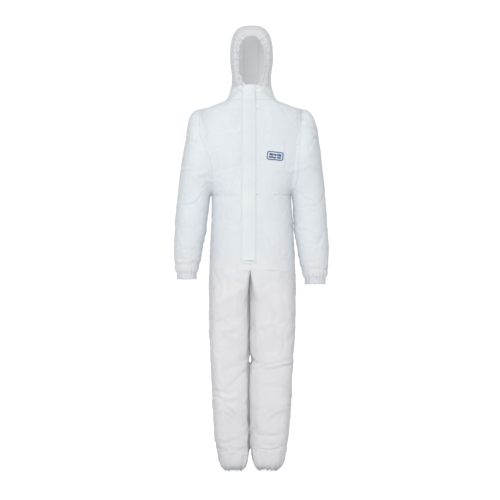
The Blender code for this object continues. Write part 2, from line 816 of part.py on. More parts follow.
def leg_ring(z):
    """Starts at the outer side, runs over the front to the inseam and back. D-shaped at the hip."""
    outer, inner, front, back = (table(LEG[::-1], z, column) for column in (1, 2, 3, 4))
    round_share = float(np.clip((LEG[0][0] - z) / (LEG[0][0] - LEG_ROUND_BELOW), 0, 1))
    middle_y, half_y = (front + back) / 2, (back - front) / 2
    middle_x, half_x = (outer + inner) / 2, (outer - inner) / 2
    ring = []
    for k in range(RING):
        turn = 2 * math.pi * k / RING
        sine, cosine = math.sin(turn), math.cos(turn)
        round_x = middle_x + half_x * math.copysign(abs(cosine) ** (2 / 2.6), cosine)
        round_y = middle_y - half_y * math.copysign(abs(sine) ** (2 / 2.6), sine)
        flat_x, flat_y = hip_outline(k, outer, inner, middle_y, half_y)
        x = flat_x + (round_x - flat_x) * round_share
        y = flat_y + (round_y - flat_y) * round_share
        ring.append(np.array((x, y, z)))
    return ring


def hip_outline(k, outer, inner, middle_y, half_y):
    """Half of the torso's oval on the outside, closed by a straight wall at the inseam."""
    arc = RING // 2 - 2
    edge = angle_at_x(inner, outer, TORSO_POWER)
    quarter = arc // 2
    if k <= quarter or k >= RING - quarter:
        step = k if k <= quarter else k - RING
        share = abs(step) / quarter
        angle = math.pi / 2 - share * (math.pi / 2 - edge)
        x = outer * math.sin(angle) ** (2 / TORSO_POWER)
        y = half_y * math.cos(angle) ** (2 / TORSO_POWER)
        return x, middle_y - y if step >= 0 else middle_y + y
    share = (k - quarter) / (RING - 2 * quarter)
    return inner, middle_y - half_y * (1 - 2 * share) * 0.999


def leg_panel(piece, side, heights, body, slot, home):
    """The front or back half of a leg between two joints."""
    half = RING // 2
    rows = []
    for z in heights:
        ring = leg_ring(z)
        if piece.endswith("front"):
            rows.append(ring[: half + 1])
        else:
            rows.append(ring[half:] + ring[:1])
    grid = inset(np.array(rows), SEAM, ("start", "end", "low", "high"))
    sign = 1 if side == "left" else -1
    middle = (sign * 0.085, 0.0, float(np.mean(heights)))
    sheet(f"{piece}_{side}", side_of(grid, side), body, slot, home, inside=middle)


def ankle_elastic(side, body, slot, home):
    outer, inner = ANKLE_CENTRE + ANKLE_HALF_WIDTH, ANKLE_CENTRE - ANKLE_HALF_WIDTH
    outside, inside = [], []
    for z in (ANKLE - 0.0010, 0.0):
        outside.append(sleeve_ring(outer, z, inner, z, ANKLE_HALF_DEPTH, 2.2))
        inside.append(sleeve_ring(outer - BAND, z, inner + BAND, z, ANKLE_HALF_DEPTH - BAND, 2.2))
    outside, inside = side_of(np.array(outside), side), side_of(np.array(inside), side)
    band(f"ankle_elastic_{side}", outside, inside, body, slot, home)


# ---------------------------------------------------------------- assembly


def pivots():
    """Each moving body's parent and the place of its joint, for the wearer's left."""
    elbow_depth = UPPER_SLEEVE[-1][4]
    knee_back = table(LEG[::-1], KNEE, 4)
    return {
        "shoulder": ("torso", (ARMHOLE_X_HIGH, 0.0, SHOULDER)),
        "elbow": ("shoulder", (0.236, -elbow_depth - 0.0004, ELBOW)),
        "hip": ("torso", (0.088, front_y(CROTCH) - 0.0004, CROTCH - 0.0007)),
        "knee": ("hip", (0.085, knee_back + 0.0004, KNEE + 0.0003)),
    }


def build_side(side, torso, slots, home):
    sign = 1 if side == "left" else -1
    bodies = {"torso": torso}
    for name, (parent, place) in pivots().items():
        spot = (sign * place[0], place[1], place[2])
        bodies[name] = add_empty(f"{name}_{side}_axis", spot, bodies[parent], home)
    fabric, elastic = slots["fabric"], slots["elastic"]
    front_panel(side, torso, fabric, home)
    back_panel(side, torso, fabric, home)
    collar(side, torso, fabric, home)
    zip_tape(side, torso, slots["tape"], home)
    zip_coil(side, torso, slots["coil"], home)
    upper_sleeve(side, bodies["shoulder"], fabric, home)
    lower_sleeve(side, bodies["elbow"], fabric, home)
    wrist_elastic(side, bodies["elbow"], elastic, home)
    for half in ("front", "back"):
        leg_panel(f"thigh_{half}", side, THIGH_ROWS, bodies["hip"], fabric, home)
        leg_panel(f"shin_{half}", side, SHIN_ROWS, bodies["knee"], fabric, home)
    ankle_elastic(side, bodies["knee"], elastic, home)


def build_zip(torso, slots, home, cutters):
    frame = zip_frame()
    spot = frame @ Vector((0.0, 0.0, slider_top()))
    slider = add_empty("slider_axis", spot, torso, home)
    spot = frame @ Vector((0.0, TAB_AXIS_Y, slider_top() + TAB_AXIS_UP))
    tab = add_empty("pull_tab_axis", spot, slider, home)
    zip_stops(torso, slots["coil"], home)
    zip_slider(slider, slots["metal"], home, cutters)
    zip_pull_tab(tab, slots["metal"], home)
    spot = frame @ Vector((FLAP_SEWN + 0.0003, -0.0010, 0.35))
    flap = add_empty("flap_axis", spot, torso, home)
    storm_flap(flap, slots["fabric"], home)
    flap_end_patch(torso, slots["tape"], home)


def build_hood(torso, slots, home):
    nape = (0.0, table(HOOD, COLLAR_BACK, 3) + 0.0003, COLLAR_BACK)
    hood = add_empty("hood_axis", nape, torso, home)
    hood_centre_panel(hood, slots["fabric"], home)
    for side in ("left", "right"):
        hood_side(side, hood, slots["fabric"], home)
    face_elastic(hood, slots["elastic"], home)


def main():
    clear_scene()
    home = collection(COLLECTION)
    cutters = collection("helpers")
    slots = {
        "fabric": fabric_material("coated_nonwoven"),
        "elastic": elastic_material("covered_elastic"),
        "tape": tape_material("woven_tape"),
        "coil": coil_material("nylon_coil"),
        "metal": metal_material("zip_metal"),
        "badge": badge_material("printed_badge"),
    }
    torso = add_empty("torso", (0.0, 0.0, 0.0), None, home)
    for side in ("left", "right"):
        build_side(side, torso, slots, home)
    crotch_gusset(torso, slots["fabric"], home)
    waist_elastic(torso, slots["elastic"], home)
    chest_badge(torso, slots["badge"], home)
    build_zip(torso, slots, home, cutters)
    build_hood(torso, slots, home)
    bpy.context.view_layer.update()


main()
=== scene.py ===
"""Protective coverall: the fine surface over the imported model, its finishes, the light and the camera."""

import math

import bmesh
import bpy
import numpy as np
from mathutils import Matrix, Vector
from mathutils.bvhtree import BVHTree
from mathutils.kdtree import KDTree


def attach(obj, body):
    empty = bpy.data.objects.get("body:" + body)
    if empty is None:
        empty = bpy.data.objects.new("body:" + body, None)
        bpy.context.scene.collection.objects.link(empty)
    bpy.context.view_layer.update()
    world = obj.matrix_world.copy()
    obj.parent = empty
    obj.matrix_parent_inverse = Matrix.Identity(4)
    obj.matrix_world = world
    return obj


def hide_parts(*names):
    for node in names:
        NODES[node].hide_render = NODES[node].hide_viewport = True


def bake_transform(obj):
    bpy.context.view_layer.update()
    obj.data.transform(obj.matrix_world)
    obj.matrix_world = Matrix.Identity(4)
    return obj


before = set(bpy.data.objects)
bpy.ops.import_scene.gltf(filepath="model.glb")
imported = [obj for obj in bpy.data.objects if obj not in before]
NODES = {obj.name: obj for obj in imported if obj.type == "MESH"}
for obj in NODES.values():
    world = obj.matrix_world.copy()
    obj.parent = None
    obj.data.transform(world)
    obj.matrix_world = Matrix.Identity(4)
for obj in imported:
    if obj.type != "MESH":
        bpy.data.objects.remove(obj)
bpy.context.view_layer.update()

# ---------------------------------------------------------------- sizes, in metres

SUIT_TOP = 1.776
CHIN = 1.533
NECK = 1.4755
SHOULDER = 1.438
ARMPIT = 1.100
CROTCH = 0.800
ZIP_LOW = 0.830
FRONT_LOW = -0.1200
FRONT_SLOPE = 0.0228

TORSO = (
    (0.800, 0.1735, 0.118),
    (0.880, 0.1710, 0.130),
    (0.970, 0.1660, 0.120),
    (1.070, 0.1600, 0.104),
    (1.100, 0.1580, 0.106),
    (1.300, 0.2000, 0.130),
    (1.438, 0.2020, 0.112),
    (1.4755, 0.1040, 0.090),
)
OVAL = 2.4
ARMHOLE_X = (0.158, 0.202)
ARMHOLE_DEPTH = 0.088

HOOD = (
    (1.4755, 0.1040, -0.1053, 0.090),
    (1.492, 0.0945, -0.1048, 0.094),
    (1.512, 0.0870, -0.1044, 0.098),
    (1.544, 0.0785, -0.1037, 0.106),
    (1.576, 0.0775, -0.1033, 0.114),
    (1.608, 0.0820, -0.1030, 0.120),
    (1.645, 0.0860, -0.1030, 0.124),
)
HOOD_WIDEST = 1.645
DOME_POWER = 2.8
STRIP = 0.030
ZIP_HALF_SLIT = 0.0065
SLIT_LOW = 0.836
FACE_LOW_EDGE = 1.560
FACE_HIGH = 1.730
FACE_WIDEST = 1.636
FACE_HALF = 0.054
FACE_HALF_LOW = 0.016
FACE_MIDDLE = 1.632

# Outer x and z, inner x and z, half depth, squareness
SLEEVE = (
    (0.202, 1.438, 0.158, 1.100, 0.0880, 2.00),
    (0.224, 1.434, 0.1600, 1.0985, 0.0885, 2.04),
    (0.247, 1.412, 0.1615, 1.0965, 0.0890, 2.10),
    (0.2595, 1.378, 0.1625, 1.0940, 0.0885, 2.16),
    (0.269, 1.325, 0.1635, 1.0900, 0.0870, 2.22),
    (0.280, 1.260, 0.1650, 1.0830, 0.0840, 2.26),
    (0.289, 1.180, 0.1665, 1.0700, 0.0800, 2.28),
    (0.296, 1.100, 0.1685, 1.0480, 0.0760, 2.30),
    (0.302, 1.0200, 0.1705, 1.0180, 0.0725, 2.30),
)
# Share of the way from the elbow to the cuff, outer x, inner x, half depth
FOREARM = (
    (0.25, 0.3050, 0.1735, 0.0670),
    (0.50, 0.3090, 0.1840, 0.0620),
    (0.72, 0.3080, 0.1930, 0.0560),
    (0.90, 0.3045, 0.2060, 0.0490),
    (0.97, 0.3000, 0.2120, 0.0455),
    (1.00, 0.2965, 0.2150, 0.0435),
)
CUFF_END = {"left": 0.745, "right": 0.765}
CUFF_LENGTH = 0.023

# Height, outer x, inner x, y of the front, y of the back
LEG = (
    (0.800, 0.1735, 0.0020, -0.1207, 0.1180),
    (0.750, 0.1755, 0.0026, -0.1180, 0.1180),
    (0.660, 0.1750, 0.0028, -0.1120, 0.1100),
    (0.550, 0.1725, 0.0026, -0.1030, 0.0980),
    (0.480, 0.1675, 0.0034, -0.0975, 0.0915),
    (0.446, 0.1655, 0.0068, -0.0950, 0.0895),
    (0.415, 0.1635, 0.0034, -0.0930, 0.0880),
    (0.330, 0.1600, 0.0028, -0.0900, 0.0850),
    (0.260, 0.1580, 0.0026, -0.0890, 0.0840),
    (0.200, 0.1540, 0.0026, -0.0880, 0.0830),
    (0.136, 0.1490, 0.0028, -0.0860, 0.0810),
    (0.090, 0.1425, 0.0044, -0.0835, 0.0790),
    (0.060, 0.1365, 0.0072, -0.0815, 0.0770),
    (0.040, 0.1320, 0.0100, -0.0785, 0.0745),
    (0.026, 0.1265, 0.0140, -0.0740, 0.0705),
    (0.014, 0.1180, 0.0205, -0.0665, 0.0635),
    (0.006, 0.1070, 0.0300, -0.0570, 0.0550),
)
ROUND_BELOW = 0.66

FLAP_FREE = -0.035
FLAP_SEWN = 0.0232
FLAP_LOW = 0.8300
FLAP_HIGH = 1.534

# How far from the armhole the sleeve head reaches; the heights where the leg's cuts end
HEAD_LENGTH = 0.345
LEG_SPLIT = 0.616
ANKLE_START = 0.0225
# Turned-in hems: share of the way to the middle, and height
WRIST_HEM = ((0.03, -0.0012), (0.06, 0.0), (0.07, 0.004), (0.07, 0.020))
ANKLE_HEM = (
    (0.05, -0.0022),
    (0.10, -0.0030),
    (0.14, -0.0010),
    (0.16, 0.004),
    (0.17, 0.014),
    (0.17, 0.026),
)
# The face casing's hem: steps to the back and away from the opening
CASING_HEM = (
    (0.0016, -0.0012),
    (0.0044, -0.0010),
    (0.0066, 0.0010),
    (0.0074, 0.0050),
    (0.0078, 0.0140),
)
# The slanted line where the hood folds back, and the height of the collar at the back
NAPE = np.array((0.0, 0.0917, 1.482))
NAPE_UP = np.array((0.0, 0.2522, 0.9677))
COLLAR_BACK_HEIGHT = 1.490
ZIP_TOP = 1.526
FLOOR_GAP = 0.0006
# The flap's front runs lower over the zip and higher over the pull tab
FLAP_RISE = 0.0052
FLAP_RISE_AT_TAB = 0.0042
STITCH_INSET_SEWN = 0.0042
STITCH_INSET_FREE = 0.0065
LEG_SQUARENESS = 3.2
SEAM_ANGLE = 0.012
SIDES = (("left", 1), ("right", -1))

# Counts of points: a quarter of the trunk, a sleeve's ring, a leg's inner wall
QUARTER = 37
SLEEVE_RING = 128
WALL = 34
CHIN_COLUMNS = 3


# ---------------------------------------------------------------- curves and ovals


def smooth(rows, column, at):
    """Monotone cubic through a table's column. The table's first column rises or falls."""
    x = np.array([row[0] for row in rows], float)
    y = np.array([row[column] for row in rows], float)
    if x[0] > x[-1]:
        x, y = x[::-1], y[::-1]
    at = np.asarray(at, float)
    step = np.diff(x)
    slope = np.diff(y) / step
    tangent = np.zeros_like(y)
    tangent[0], tangent[-1] = slope[0], slope[-1]
    for i in range(1, len(x) - 1):
        if slope[i - 1] * slope[i] > 0:
            a, b = 2 * step[i] + step[i - 1], step[i] + 2 * step[i - 1]
            tangent[i] = (a + b) / (a / slope[i - 1] + b / slope[i])
    k = np.clip(np.searchsorted(x, at) - 1, 0, len(step) - 1)
    t = np.clip((at - x[k]) / step[k], 0, 1)
    h = step[k]
    return (
        (1 + 2 * t) * (1 - t) ** 2 * y[k]
        + t * (1 - t) ** 2 * h * tangent[k]
        + t * t * (3 - 2 * t) * y[k + 1]
        + t * t * (t - 1) * h * tangent[k + 1]
    )


def power_of(value, power):
    return np.sign(value) * np.abs(value) ** (2 / power)


def oval(z, angle, rx, front, back, power=OVAL):
    """The angle runs from the front over +X to the back."""
    x = rx * power_of(np.sin(angle), power)
    y = (front + back) / 2 - (back - front) / 2 * power_of(np.cos(angle), power)
    return np.stack(np.broadcast_arrays(x, y, z), axis=-1)


def angle_at(x, rx, power=OVAL):
    return np.arcsin(np.clip(x / rx, 0, 1) ** (power / 2))


def front_y(z):
    return FRONT_LOW + (z - ZIP_LOW) * FRONT_SLOPE


def ease(value, low, high):
    t = np.clip((value - low) / (high - low), 0, 1)
    return t * t * (3 - 2 * t)


def noise(points, scale, seed):
    """Smooth noise from a few crossed waves, about -1 to 1."""
    source = np.random.default_rng(seed)
    total = np.zeros(len(points))
    for _ in range(9):
        way = source.normal(size=3)
        way /= np.linalg.norm(way)
        length = scale * source.uniform(0.6, 1.7)
        total += np.sin(points @ way * (2 * math.pi / length) + source.uniform(0, 6.28))
    return total / 3.4


# ---------------------------------------------------------------- grids of the suit


def torso_ring(z):
    front, back = front_y(z), float(smooth(TORSO, 2, z))
    if not ARMPIT < z < SHOULDER:
        rx = float(np.interp(z, [row[0] for row in TORSO], [row[1] for row in TORSO]))
        if z > SHOULDER:
            share = (z - SHOULDER) / (NECK - SHOULDER)
            rx = 0.202 + (0.104 - 0.202) * share
        return rx, front, back, math.pi / 2
    middle, half = (ARMPIT + SHOULDER) / 2, (SHOULDER - ARMPIT) / 2
    depth = ARMHOLE_DEPTH * math.sqrt(max(0.0, 1 - ((z - middle) / half) ** 2))
    share = (z - ARMPIT) / (SHOULDER - ARMPIT)
    edge_x = ARMHOLE_X[0] + share * (ARMHOLE_X[1] - ARMHOLE_X[0])
    edge = math.acos((depth / ((back - front) / 2)) ** (OVAL / 2))
    return edge_x / math.sin(edge) ** (2 / OVAL), front, back, edge


def quarter_angles(edge, seam):
    """From the front to the side, the last step narrow so that a seam can be raised there."""
    return np.append(np.linspace(0, edge - seam, QUARTER - 1), edge)


def torso_rows():
    middle, half = (ARMPIT + SHOULDER) / 2, (SHOULDER - ARMPIT) / 2
    hole = [middle - half * math.cos(2 * math.pi * k / SLEEVE_RING) for k in range(SLEEVE_RING // 2 + 1)]
    low = list(np.linspace(CROTCH, ARMPIT, 46)[:-1])
    high = list(np.linspace(SHOULDER, NECK, 11)[1:])
    return low + hole + high


def torso_grid():
    rows = []
    for z in torso_rows():
        rx, front, back, edge = torso_ring(z)
        angles = quarter_angles(edge, SEAM_ANGLE)
        fore = oval(z, angles, rx, front, back)
        aft = oval(z, math.pi - angles[::-1], rx, front, back)
        rows.append(np.concatenate((fore, aft)))
    return np.array(rows)


def sleeve_spine(side):
    """Rows of (outer x, outer z, inner x, inner z, half depth, squareness), evenly spaced outside."""
    end = CUFF_END[side]
    rows = list(SLEEVE)
    for share, outer, inner, depth in FOREARM:
        z = 1.019 + (end + CUFF_LENGTH - 1.019) * share
        rows.append((outer, z, inner, z, depth, 2.3 - 0.1 * share))
    rows.append((0.2965, end, 0.2150, end, 0.0432, 2.2))
    rows = np.array(rows)
    gone = np.append(0, np.cumsum(np.hypot(*np.diff(rows[:, :2], axis=0).T)))
    keyed = np.column_stack((gone, rows))
    head = np.linspace(0, 1, 15)[:-1] * 0.030
    body = np.arange(0.030, gone[-2] - 0.030, 0.0066)
    tail = np.append(np.arange(body[-1] + 0.0045, gone[-2], 0.0030), gone[-2])
    cuff = np.linspace(gone[-2], gone[-1], 9)[1:]
    stations = np.concatenate((head, body, tail, cuff))
    return np.column_stack([smooth(keyed, c, stations) for c in range(1, 7)]), stations, gone[-2]


def sleeve_grid(side):
    spine, stations, cuff_start = sleeve_spine(side)
    turn = 2 * math.pi * np.arange(SLEEVE_RING) / SLEEVE_RING
    rows = []
    for outer_x, outer_z, inner_x, inner_z, depth, power in spine:
        reach = power_of(np.cos(turn), power)
        x = (outer_x + inner_x) / 2 + (outer_x - inner_x) / 2 * reach
        z = (outer_z + inner_z) / 2 + (outer_z - inner_z) / 2 * reach
        rows.append(np.stack((x, -depth * power_of(np.sin(turn), power), z), axis=-1))
    grid = np.array(rows)
    low = (front_y(ARMPIT) + smooth(TORSO, 2, ARMPIT)) / 2
    high = (front_y(SHOULDER) + smooth(TORSO, 2, SHOULDER)) / 2
    fade = np.exp(-stations / 0.05)[:, None]
    middles = np.array([(torso_ring(z)[1] + torso_ring(z)[2]) / 2 for z in grid[0, :, 2]])
    middles[0], middles[SLEEVE_RING // 2] = high, low
    grid[:, :, 1] += middles[None, :] * fade
    return grid, stations, cuff_start


def outline(points, share):
    """Points of a closed outline at these shares of its length."""
    loop = np.vstack((points, points[:1]))
    gone = np.append(0, np.cumsum(np.linalg.norm(np.diff(loop, axis=0), axis=1)))
    gone /= gone[-1]
    return np.column_stack([np.interp(share, gone, loop[:, c]) for c in range(loop.shape[1])])


def leg_grid():
    """Columns start at the outer side and run over the front to the inseam and the back."""
    rx, front, back, _ = torso_ring(CROTCH)
    angles = quarter_angles(math.pi / 2, SEAM_ANGLE)
    fore = oval(CROTCH, angles, rx, front, back)[::-1]
    aft = oval(CROTCH, math.pi - angles, rx, front, back)
    wall_y = np.linspace(front, back, WALL + 2)[1:-1]
    wall = np.stack((np.zeros(WALL), wall_y, np.full(WALL, CROTCH)), axis=-1)
    top = np.concatenate((fore, wall, aft[:-1]))
    gone = np.append(0, np.cumsum(np.linalg.norm(np.diff(np.vstack((top, top[:1])), axis=0), axis=1)))
    share = gone[:-1] / gone[-1]
    heights = np.concatenate(
        (
            CROTCH - 0.5 * np.array([0.0, 0.004, 0.010, 0.018]),
            np.linspace(0.784, 0.100, 100),
            np.linspace(0.096, 0.026, 22),
            np.linspace(0.0235, 0.006, 9),
        )
    )
    turn = np.linspace(0, 2 * math.pi, 721)[:-1]
    rows = [top]
    for z in heights[1:]:
        outer, inner, front, back = (float(smooth(LEG, c, z)) for c in (1, 2, 3, 4))
        x = (outer + inner) / 2 + (outer - inner) / 2 * power_of(np.cos(turn), LEG_SQUARENESS)
        y = (front + back) / 2 - (back - front) / 2 * power_of(np.sin(turn), LEG_SQUARENESS)
        round_ring = outline(np.column_stack((x, y)), share)
        flat = top[:, :2].copy()
        flat[:, 0] = inner + flat[:, 0] * (outer - inner) / rx
        deep = (back - front) / (2 * abs(front_y(CROTCH) - top[0, 1]))
        flat[:, 1] = (front + back) / 2 + (flat[:, 1] - top[0, 1]) * deep
        mix = ease(CROTCH - z, 0.0, CROTCH - ROUND_BELOW)
        ring = flat + (round_ring - flat) * mix
        rows.append(np.column_stack((ring, np.full(len(ring), z))))
    return np.array(rows)


def hood_ring(z):
    if z <= HOOD_WIDEST:
        return tuple(float(smooth(HOOD, c, z)) for c in (1, 2, 3))
    share = min(1.0, (z - HOOD_WIDEST) / (SUIT_TOP - HOOD_WIDEST))
    scale = (1 - share**DOME_POWER) ** (1 / DOME_POWER)
    full = (1 - share**4.4) ** (1 / 2.9)
    _, rx, front, back = HOOD[-1]
    middle = (front + back) / 2
    return rx * scale, middle + (front - middle) * full, middle + (back - middle) * scale


def hood_power(z):
    """The face side of the hood is held flat by its elastic."""
    return OVAL + 0.9 * float(ease(z, 1.50, 1.60))


def face_half(z):
    if z >= FACE_WIDEST:
        share = min(1.0, (z - FACE_WIDEST) / (FACE_HIGH - FACE_WIDEST))
        return FACE_HALF * (1 - share**2.3) ** (1 / 2.3)
    share = min(1.0, (FACE_WIDEST - z) / (FACE_WIDEST - CHIN))
    return FACE_HALF_LOW + (FACE_HALF - FACE_HALF_LOW) * (1 - share**2.1) ** (1 / 1.9)


def collar_grid():
    """From the neck seam to the chin's height, all the way round."""
    rows = []
    for z in np.linspace(NECK, CHIN, 22):
        low = quarter_angles(math.pi / 2, SEAM_ANGLE)
        high = hood_angles(CHIN)
        high = np.concatenate((np.linspace(0, high[0], CHIN_COLUMNS + 1)[:-1], high))
        angles = low + (high[:QUARTER] - low) * ease(z, NECK, CHIN)
        rows.append(hood_row(z, angles))
    return np.array(rows)


def hood_row(z, fore_angles):
    rx, front, back = hood_ring(z)
    aft_angles = math.pi - quarter_angles(math.pi / 2, SEAM_ANGLE)[::-1]
    fore = oval(z, fore_angles, rx, front, back, hood_power(z))
    aft = oval(z, aft_angles, rx, front, back, hood_power(z))
    return np.concatenate((fore, aft))


def hood_angles(z):
    """Front quarter of the hood beside the opening, with points crowded towards its edge."""
    rx = hood_ring(z)[0]
    start = float(angle_at(min(face_half(z), rx * 0.999), rx, hood_power(z))) if z < FACE_HIGH else 0.0
    share = np.linspace(0, 1, QUARTER - CHIN_COLUMNS)
    share = 0.45 * share + 0.55 * share**1.8
    return start + (math.pi / 2 - start) * share


def hood_grid():
    middle, half = (CHIN + FACE_HIGH) / 2, (FACE_HIGH - CHIN) / 2
    low = middle - half * np.cos(np.linspace(0, math.pi, 96))
    turn = np.linspace(0, 1, 28)[1:-1]
    high = FACE_HIGH + (SUIT_TOP - FACE_HIGH) * np.sin(turn * math.pi / 2) ** 1.35
    rows = []
    for z in np.concatenate((low, high)):
        rows.append(hood_row(z, hood_angles(z)))
    return np.array(rows), len(low)


# ---------------------------------------------------------------- one welded garment

PIECES = []
POINTS, FACES, PIECE_OF_FACE = [], [], []


def add_faces(points, faces, piece):
    if piece not in PIECES:
        PIECES.append(piece)
    start = sum(len(block) for block in POINTS)
    POINTS.append(points)
    FACES.extend([tuple(start + i for i in face) for face in faces])
    PIECE_OF_FACE.extend([PIECES.index(piece)] * len(faces))


def add_grid(grid, piece, wrap=False, flip=False):
    """piece is a name, or a function from a row and a column to one."""
    count_rows, columns, _ = grid.shape
    start = sum(len(block) for block in POINTS)
    POINTS.append(grid.reshape(-1, 3))
    for i in range(count_rows - 1):
        for j in range(columns if wrap else columns - 1):
            k = (j + 1) % columns
            face = (i * columns + j, i * columns + k, (i + 1) * columns + k, (i + 1) * columns + j)
            face = tuple(start + v for v in (face[::-1] if flip else face))
            name = piece(i, j) if callable(piece) else piece
            if name not in PIECES:
                PIECES.append(name)
            FACES.append(face)
            PIECE_OF_FACE.append(PIECES.index(name))




def above_nape(place):
    """Distance above the slanted fold line between the collar and the hood."""
    return (np.asarray(place) - NAPE) @ NAPE_UP


def to_side(grid, side):
    return grid if side == "left" else grid * np.array((-1.0, 1.0, 1.0))


def add_half(side):
    mirror = side == "right"
    torso = to_side(torso_grid(), side)
    add_grid(torso[:, :QUARTER], f"front_{side}", flip=mirror)
    add_grid(torso[:, QUARTER:], f"back_{side}", flip=mirror)

    sleeve, stations, cuff_start = sleeve_grid(side)

    def sleeve_piece(i, _):
        if stations[i] < HEAD_LENGTH - 1e-6:
            return f"sleeve_head_{side}"
        return f"sleeve_{side}" if stations[i] < cuff_start - 1e-6 else f"cuff_{side}"

    add_grid(to_side(sleeve, side), sleeve_piece, wrap=True, flip=mirror)
    turned = sleeve[-1] - sleeve[-1].mean(axis=0)
    hem = [sleeve[-1] - turned * share + np.array((0, 0, up)) for share, up in WRIST_HEM]
    add_grid(to_side(np.array([sleeve[-1], *hem]), side), f"cuff_{side}", wrap=True, flip=mirror)

    leg = leg_grid()
    heights = leg[:, 0, 2]

    def leg_piece(i, _):
        if heights[i] > LEG_SPLIT:
            return f"thigh_{side}"
        return f"shin_{side}" if heights[i] > ANKLE_START else f"ankle_{side}"

    add_grid(to_side(leg, side), leg_piece, wrap=True, flip=mirror)
    low = leg[-1]
    turned = low - low.mean(axis=0)
    ring = [low - turned * share + np.array((0, 0, up)) for share, up in ANKLE_HEM]
    add_grid(to_side(np.array([low, *ring]), side), f"ankle_{side}", wrap=True, flip=mirror)

    collar = to_side(collar_grid(), side)

    def collar_piece(i, j):
        corner = collar[i : i + 2, j : j + 2].mean(axis=(0, 1))
        if above_nape(corner) < 0:
            return f"collar_{side}"
        return "hood_centre" if abs(corner[0]) < STRIP and corner[1] > 0 else f"hood_{side}"

    add_grid(collar, collar_piece, flip=mirror)
    hood, opening_rows = hood_grid()
    hood = to_side(hood, side)

    edge = hood[:opening_rows, 0]
    chin_edge = collar[-1, : CHIN_COLUMNS + 1]
    for line, rev in ((edge, False), (chin_edge, True)):
        hem = [line]
        way = np.column_stack((line[:, 0], np.zeros(len(line)), line[:, 2] - FACE_MIDDLE))
        way /= np.linalg.norm(way, axis=1, keepdims=True)
        for back_step, out_step in CASING_HEM:
            hem.append(line + way * out_step + np.array((0, back_step, 0)))
        hem = np.stack(hem, axis=1)
        add_grid(hem, f"casing_{side}", flip=(not mirror) != rev)

    def hood_piece(i, j):
        corner = hood[i : i + 2, j : j + 2].mean(axis=(0, 1))
        if abs(corner[0]) < STRIP and (corner[1] > 0.0 or corner[2] > FACE_HIGH):
            return "hood_centre"
        return f"hood_{side}"

    add_grid(hood, hood_piece, flip=mirror)
    top = hood[-1]
    pole = np.array([(0.0, (HOOD[-1][2] + HOOD[-1][3]) / 2, SUIT_TOP)])
    faces = []
    for j in range(len(top) - 1):
        face = (j, j + 1, len(top))
        faces.append(face[::-1] if mirror else face)
    add_faces(np.vstack((top, pole)), faces, "hood_centre")




def open_slit(work):
    """The fronts and the collar end at the zip's slit."""

    def by_zip(face, half):
        middle = face.calc_center_median()
        return abs(middle.x) < half and middle.y < -0.02 and SLIT_LOW < middle.z < FACE_LOW_EDGE

    for sign in (-1, 1):
        near = [face for face in work.faces if by_zip(face, 0.030)]
        geometry = list({*near, *(e for f in near for e in f.edges), *(v for f in near for v in f.verts)})
        geometry.sort(key=lambda item: (type(item).__name__, item.index))
        at = (sign * ZIP_HALF_SLIT, 0, 0)
        bmesh.ops.bisect_plane(work, geom=geometry, plane_co=at, plane_no=(1, 0, 0), dist=1e-6)
        work.verts.index_update()
        work.edges.index_update()
        work.faces.index_update()
    bmesh.ops.delete(work, geom=[f for f in work.faces if by_zip(f, ZIP_HALF_SLIT)], context="FACES")
    work.verts.index_update()
    work.faces.index_update()


def welded_garment():
    """Points, faces as lists of corners, and each face's piece."""
    mesh = bpy.data.meshes.new("weld")
    mesh.from_pydata(np.vstack(POINTS).tolist(), [], FACES)
    work = bmesh.new()
    work.from_mesh(mesh)
    layer = work.faces.layers.int.new("piece")
    work.faces.ensure_lookup_table()
    for face, piece in zip(work.faces, PIECE_OF_FACE):
        face[layer] = piece
    bmesh.ops.remove_doubles(work, verts=work.verts, dist=0.00012)
    open_slit(work)
    work.verts.ensure_lookup_table()
    points = np.array([v.co for v in work.verts])
    faces = [[v.index for v in face.verts] for face in work.faces]
    pieces = np.array([face[layer] for face in work.faces])
    work.free()
    bpy.data.meshes.remove(mesh)
    return points, faces, pieces


def normals_of(points, faces):
    mesh = bpy.data.meshes.new("normals")
    mesh.from_pydata(points.tolist(), [], faces)
    mesh.update()
    found = np.empty(len(points) * 3, np.float32)
    mesh.vertices.foreach_get("normal", found)
    bpy.data.meshes.remove(mesh)
    return found.reshape(-1, 3).astype(float)


for side, _ in SIDES:
    add_half(side)
points, faces, pieces = welded_garment()
normals = normals_of(points, faces)
REST = points.copy()


# ---------------------------------------------------------------- folds and gathers


def crease(path, depth, width, lift=0.7, side=1, facing=-1):
    """A fold line given by (x, z) points: a groove with a soft ridge on one side of it."""
    path = np.array(path, float)
    xz = REST[:, (0, 2)]
    best = np.full(len(xz), 1e9)
    signed = np.zeros(len(xz))
    along = np.zeros(len(xz))
    lengths = np.linalg.norm(np.diff(path, axis=0), axis=1)
    total = lengths.sum()
    gone = 0.0
    for a, b, length in zip(path[:-1], path[1:], lengths):
        way = (b - a) / length
        t = np.clip((xz - a) @ way, 0, length)
        away = xz - (a + t[:, None] * way)
        distance = np.linalg.norm(away, axis=1)
        near = distance < best
        best[near] = distance[near]
        signed[near] = (away[near] @ np.array((-way[1], way[0])))
        along[near] = (gone + t[near]) / total
        gone += length
    ends = np.clip(4.4 * along * (1 - along), 0, 1) ** 0.6
    reach = np.exp(-((best / width) ** 2))
    ridge = np.exp(-(((signed * side - 1.9 * width) / (1.5 * width)) ** 2)) * (best < 6 * width)
    front = ease(facing * normals[:, 1], 0.0, 0.45)
    return (-depth * reach + lift * depth * ridge) * ends * front


def swell(x, z, wide, high, amount, facing=-1):
    """A soft bulge, given by its middle and its reach."""
    away = ((REST[:, 0] - x) / wide) ** 2 + ((REST[:, 2] - z) / high) ** 2
    return amount * np.exp(-away) * ease(facing * normals[:, 1], 0.0, 0.45)


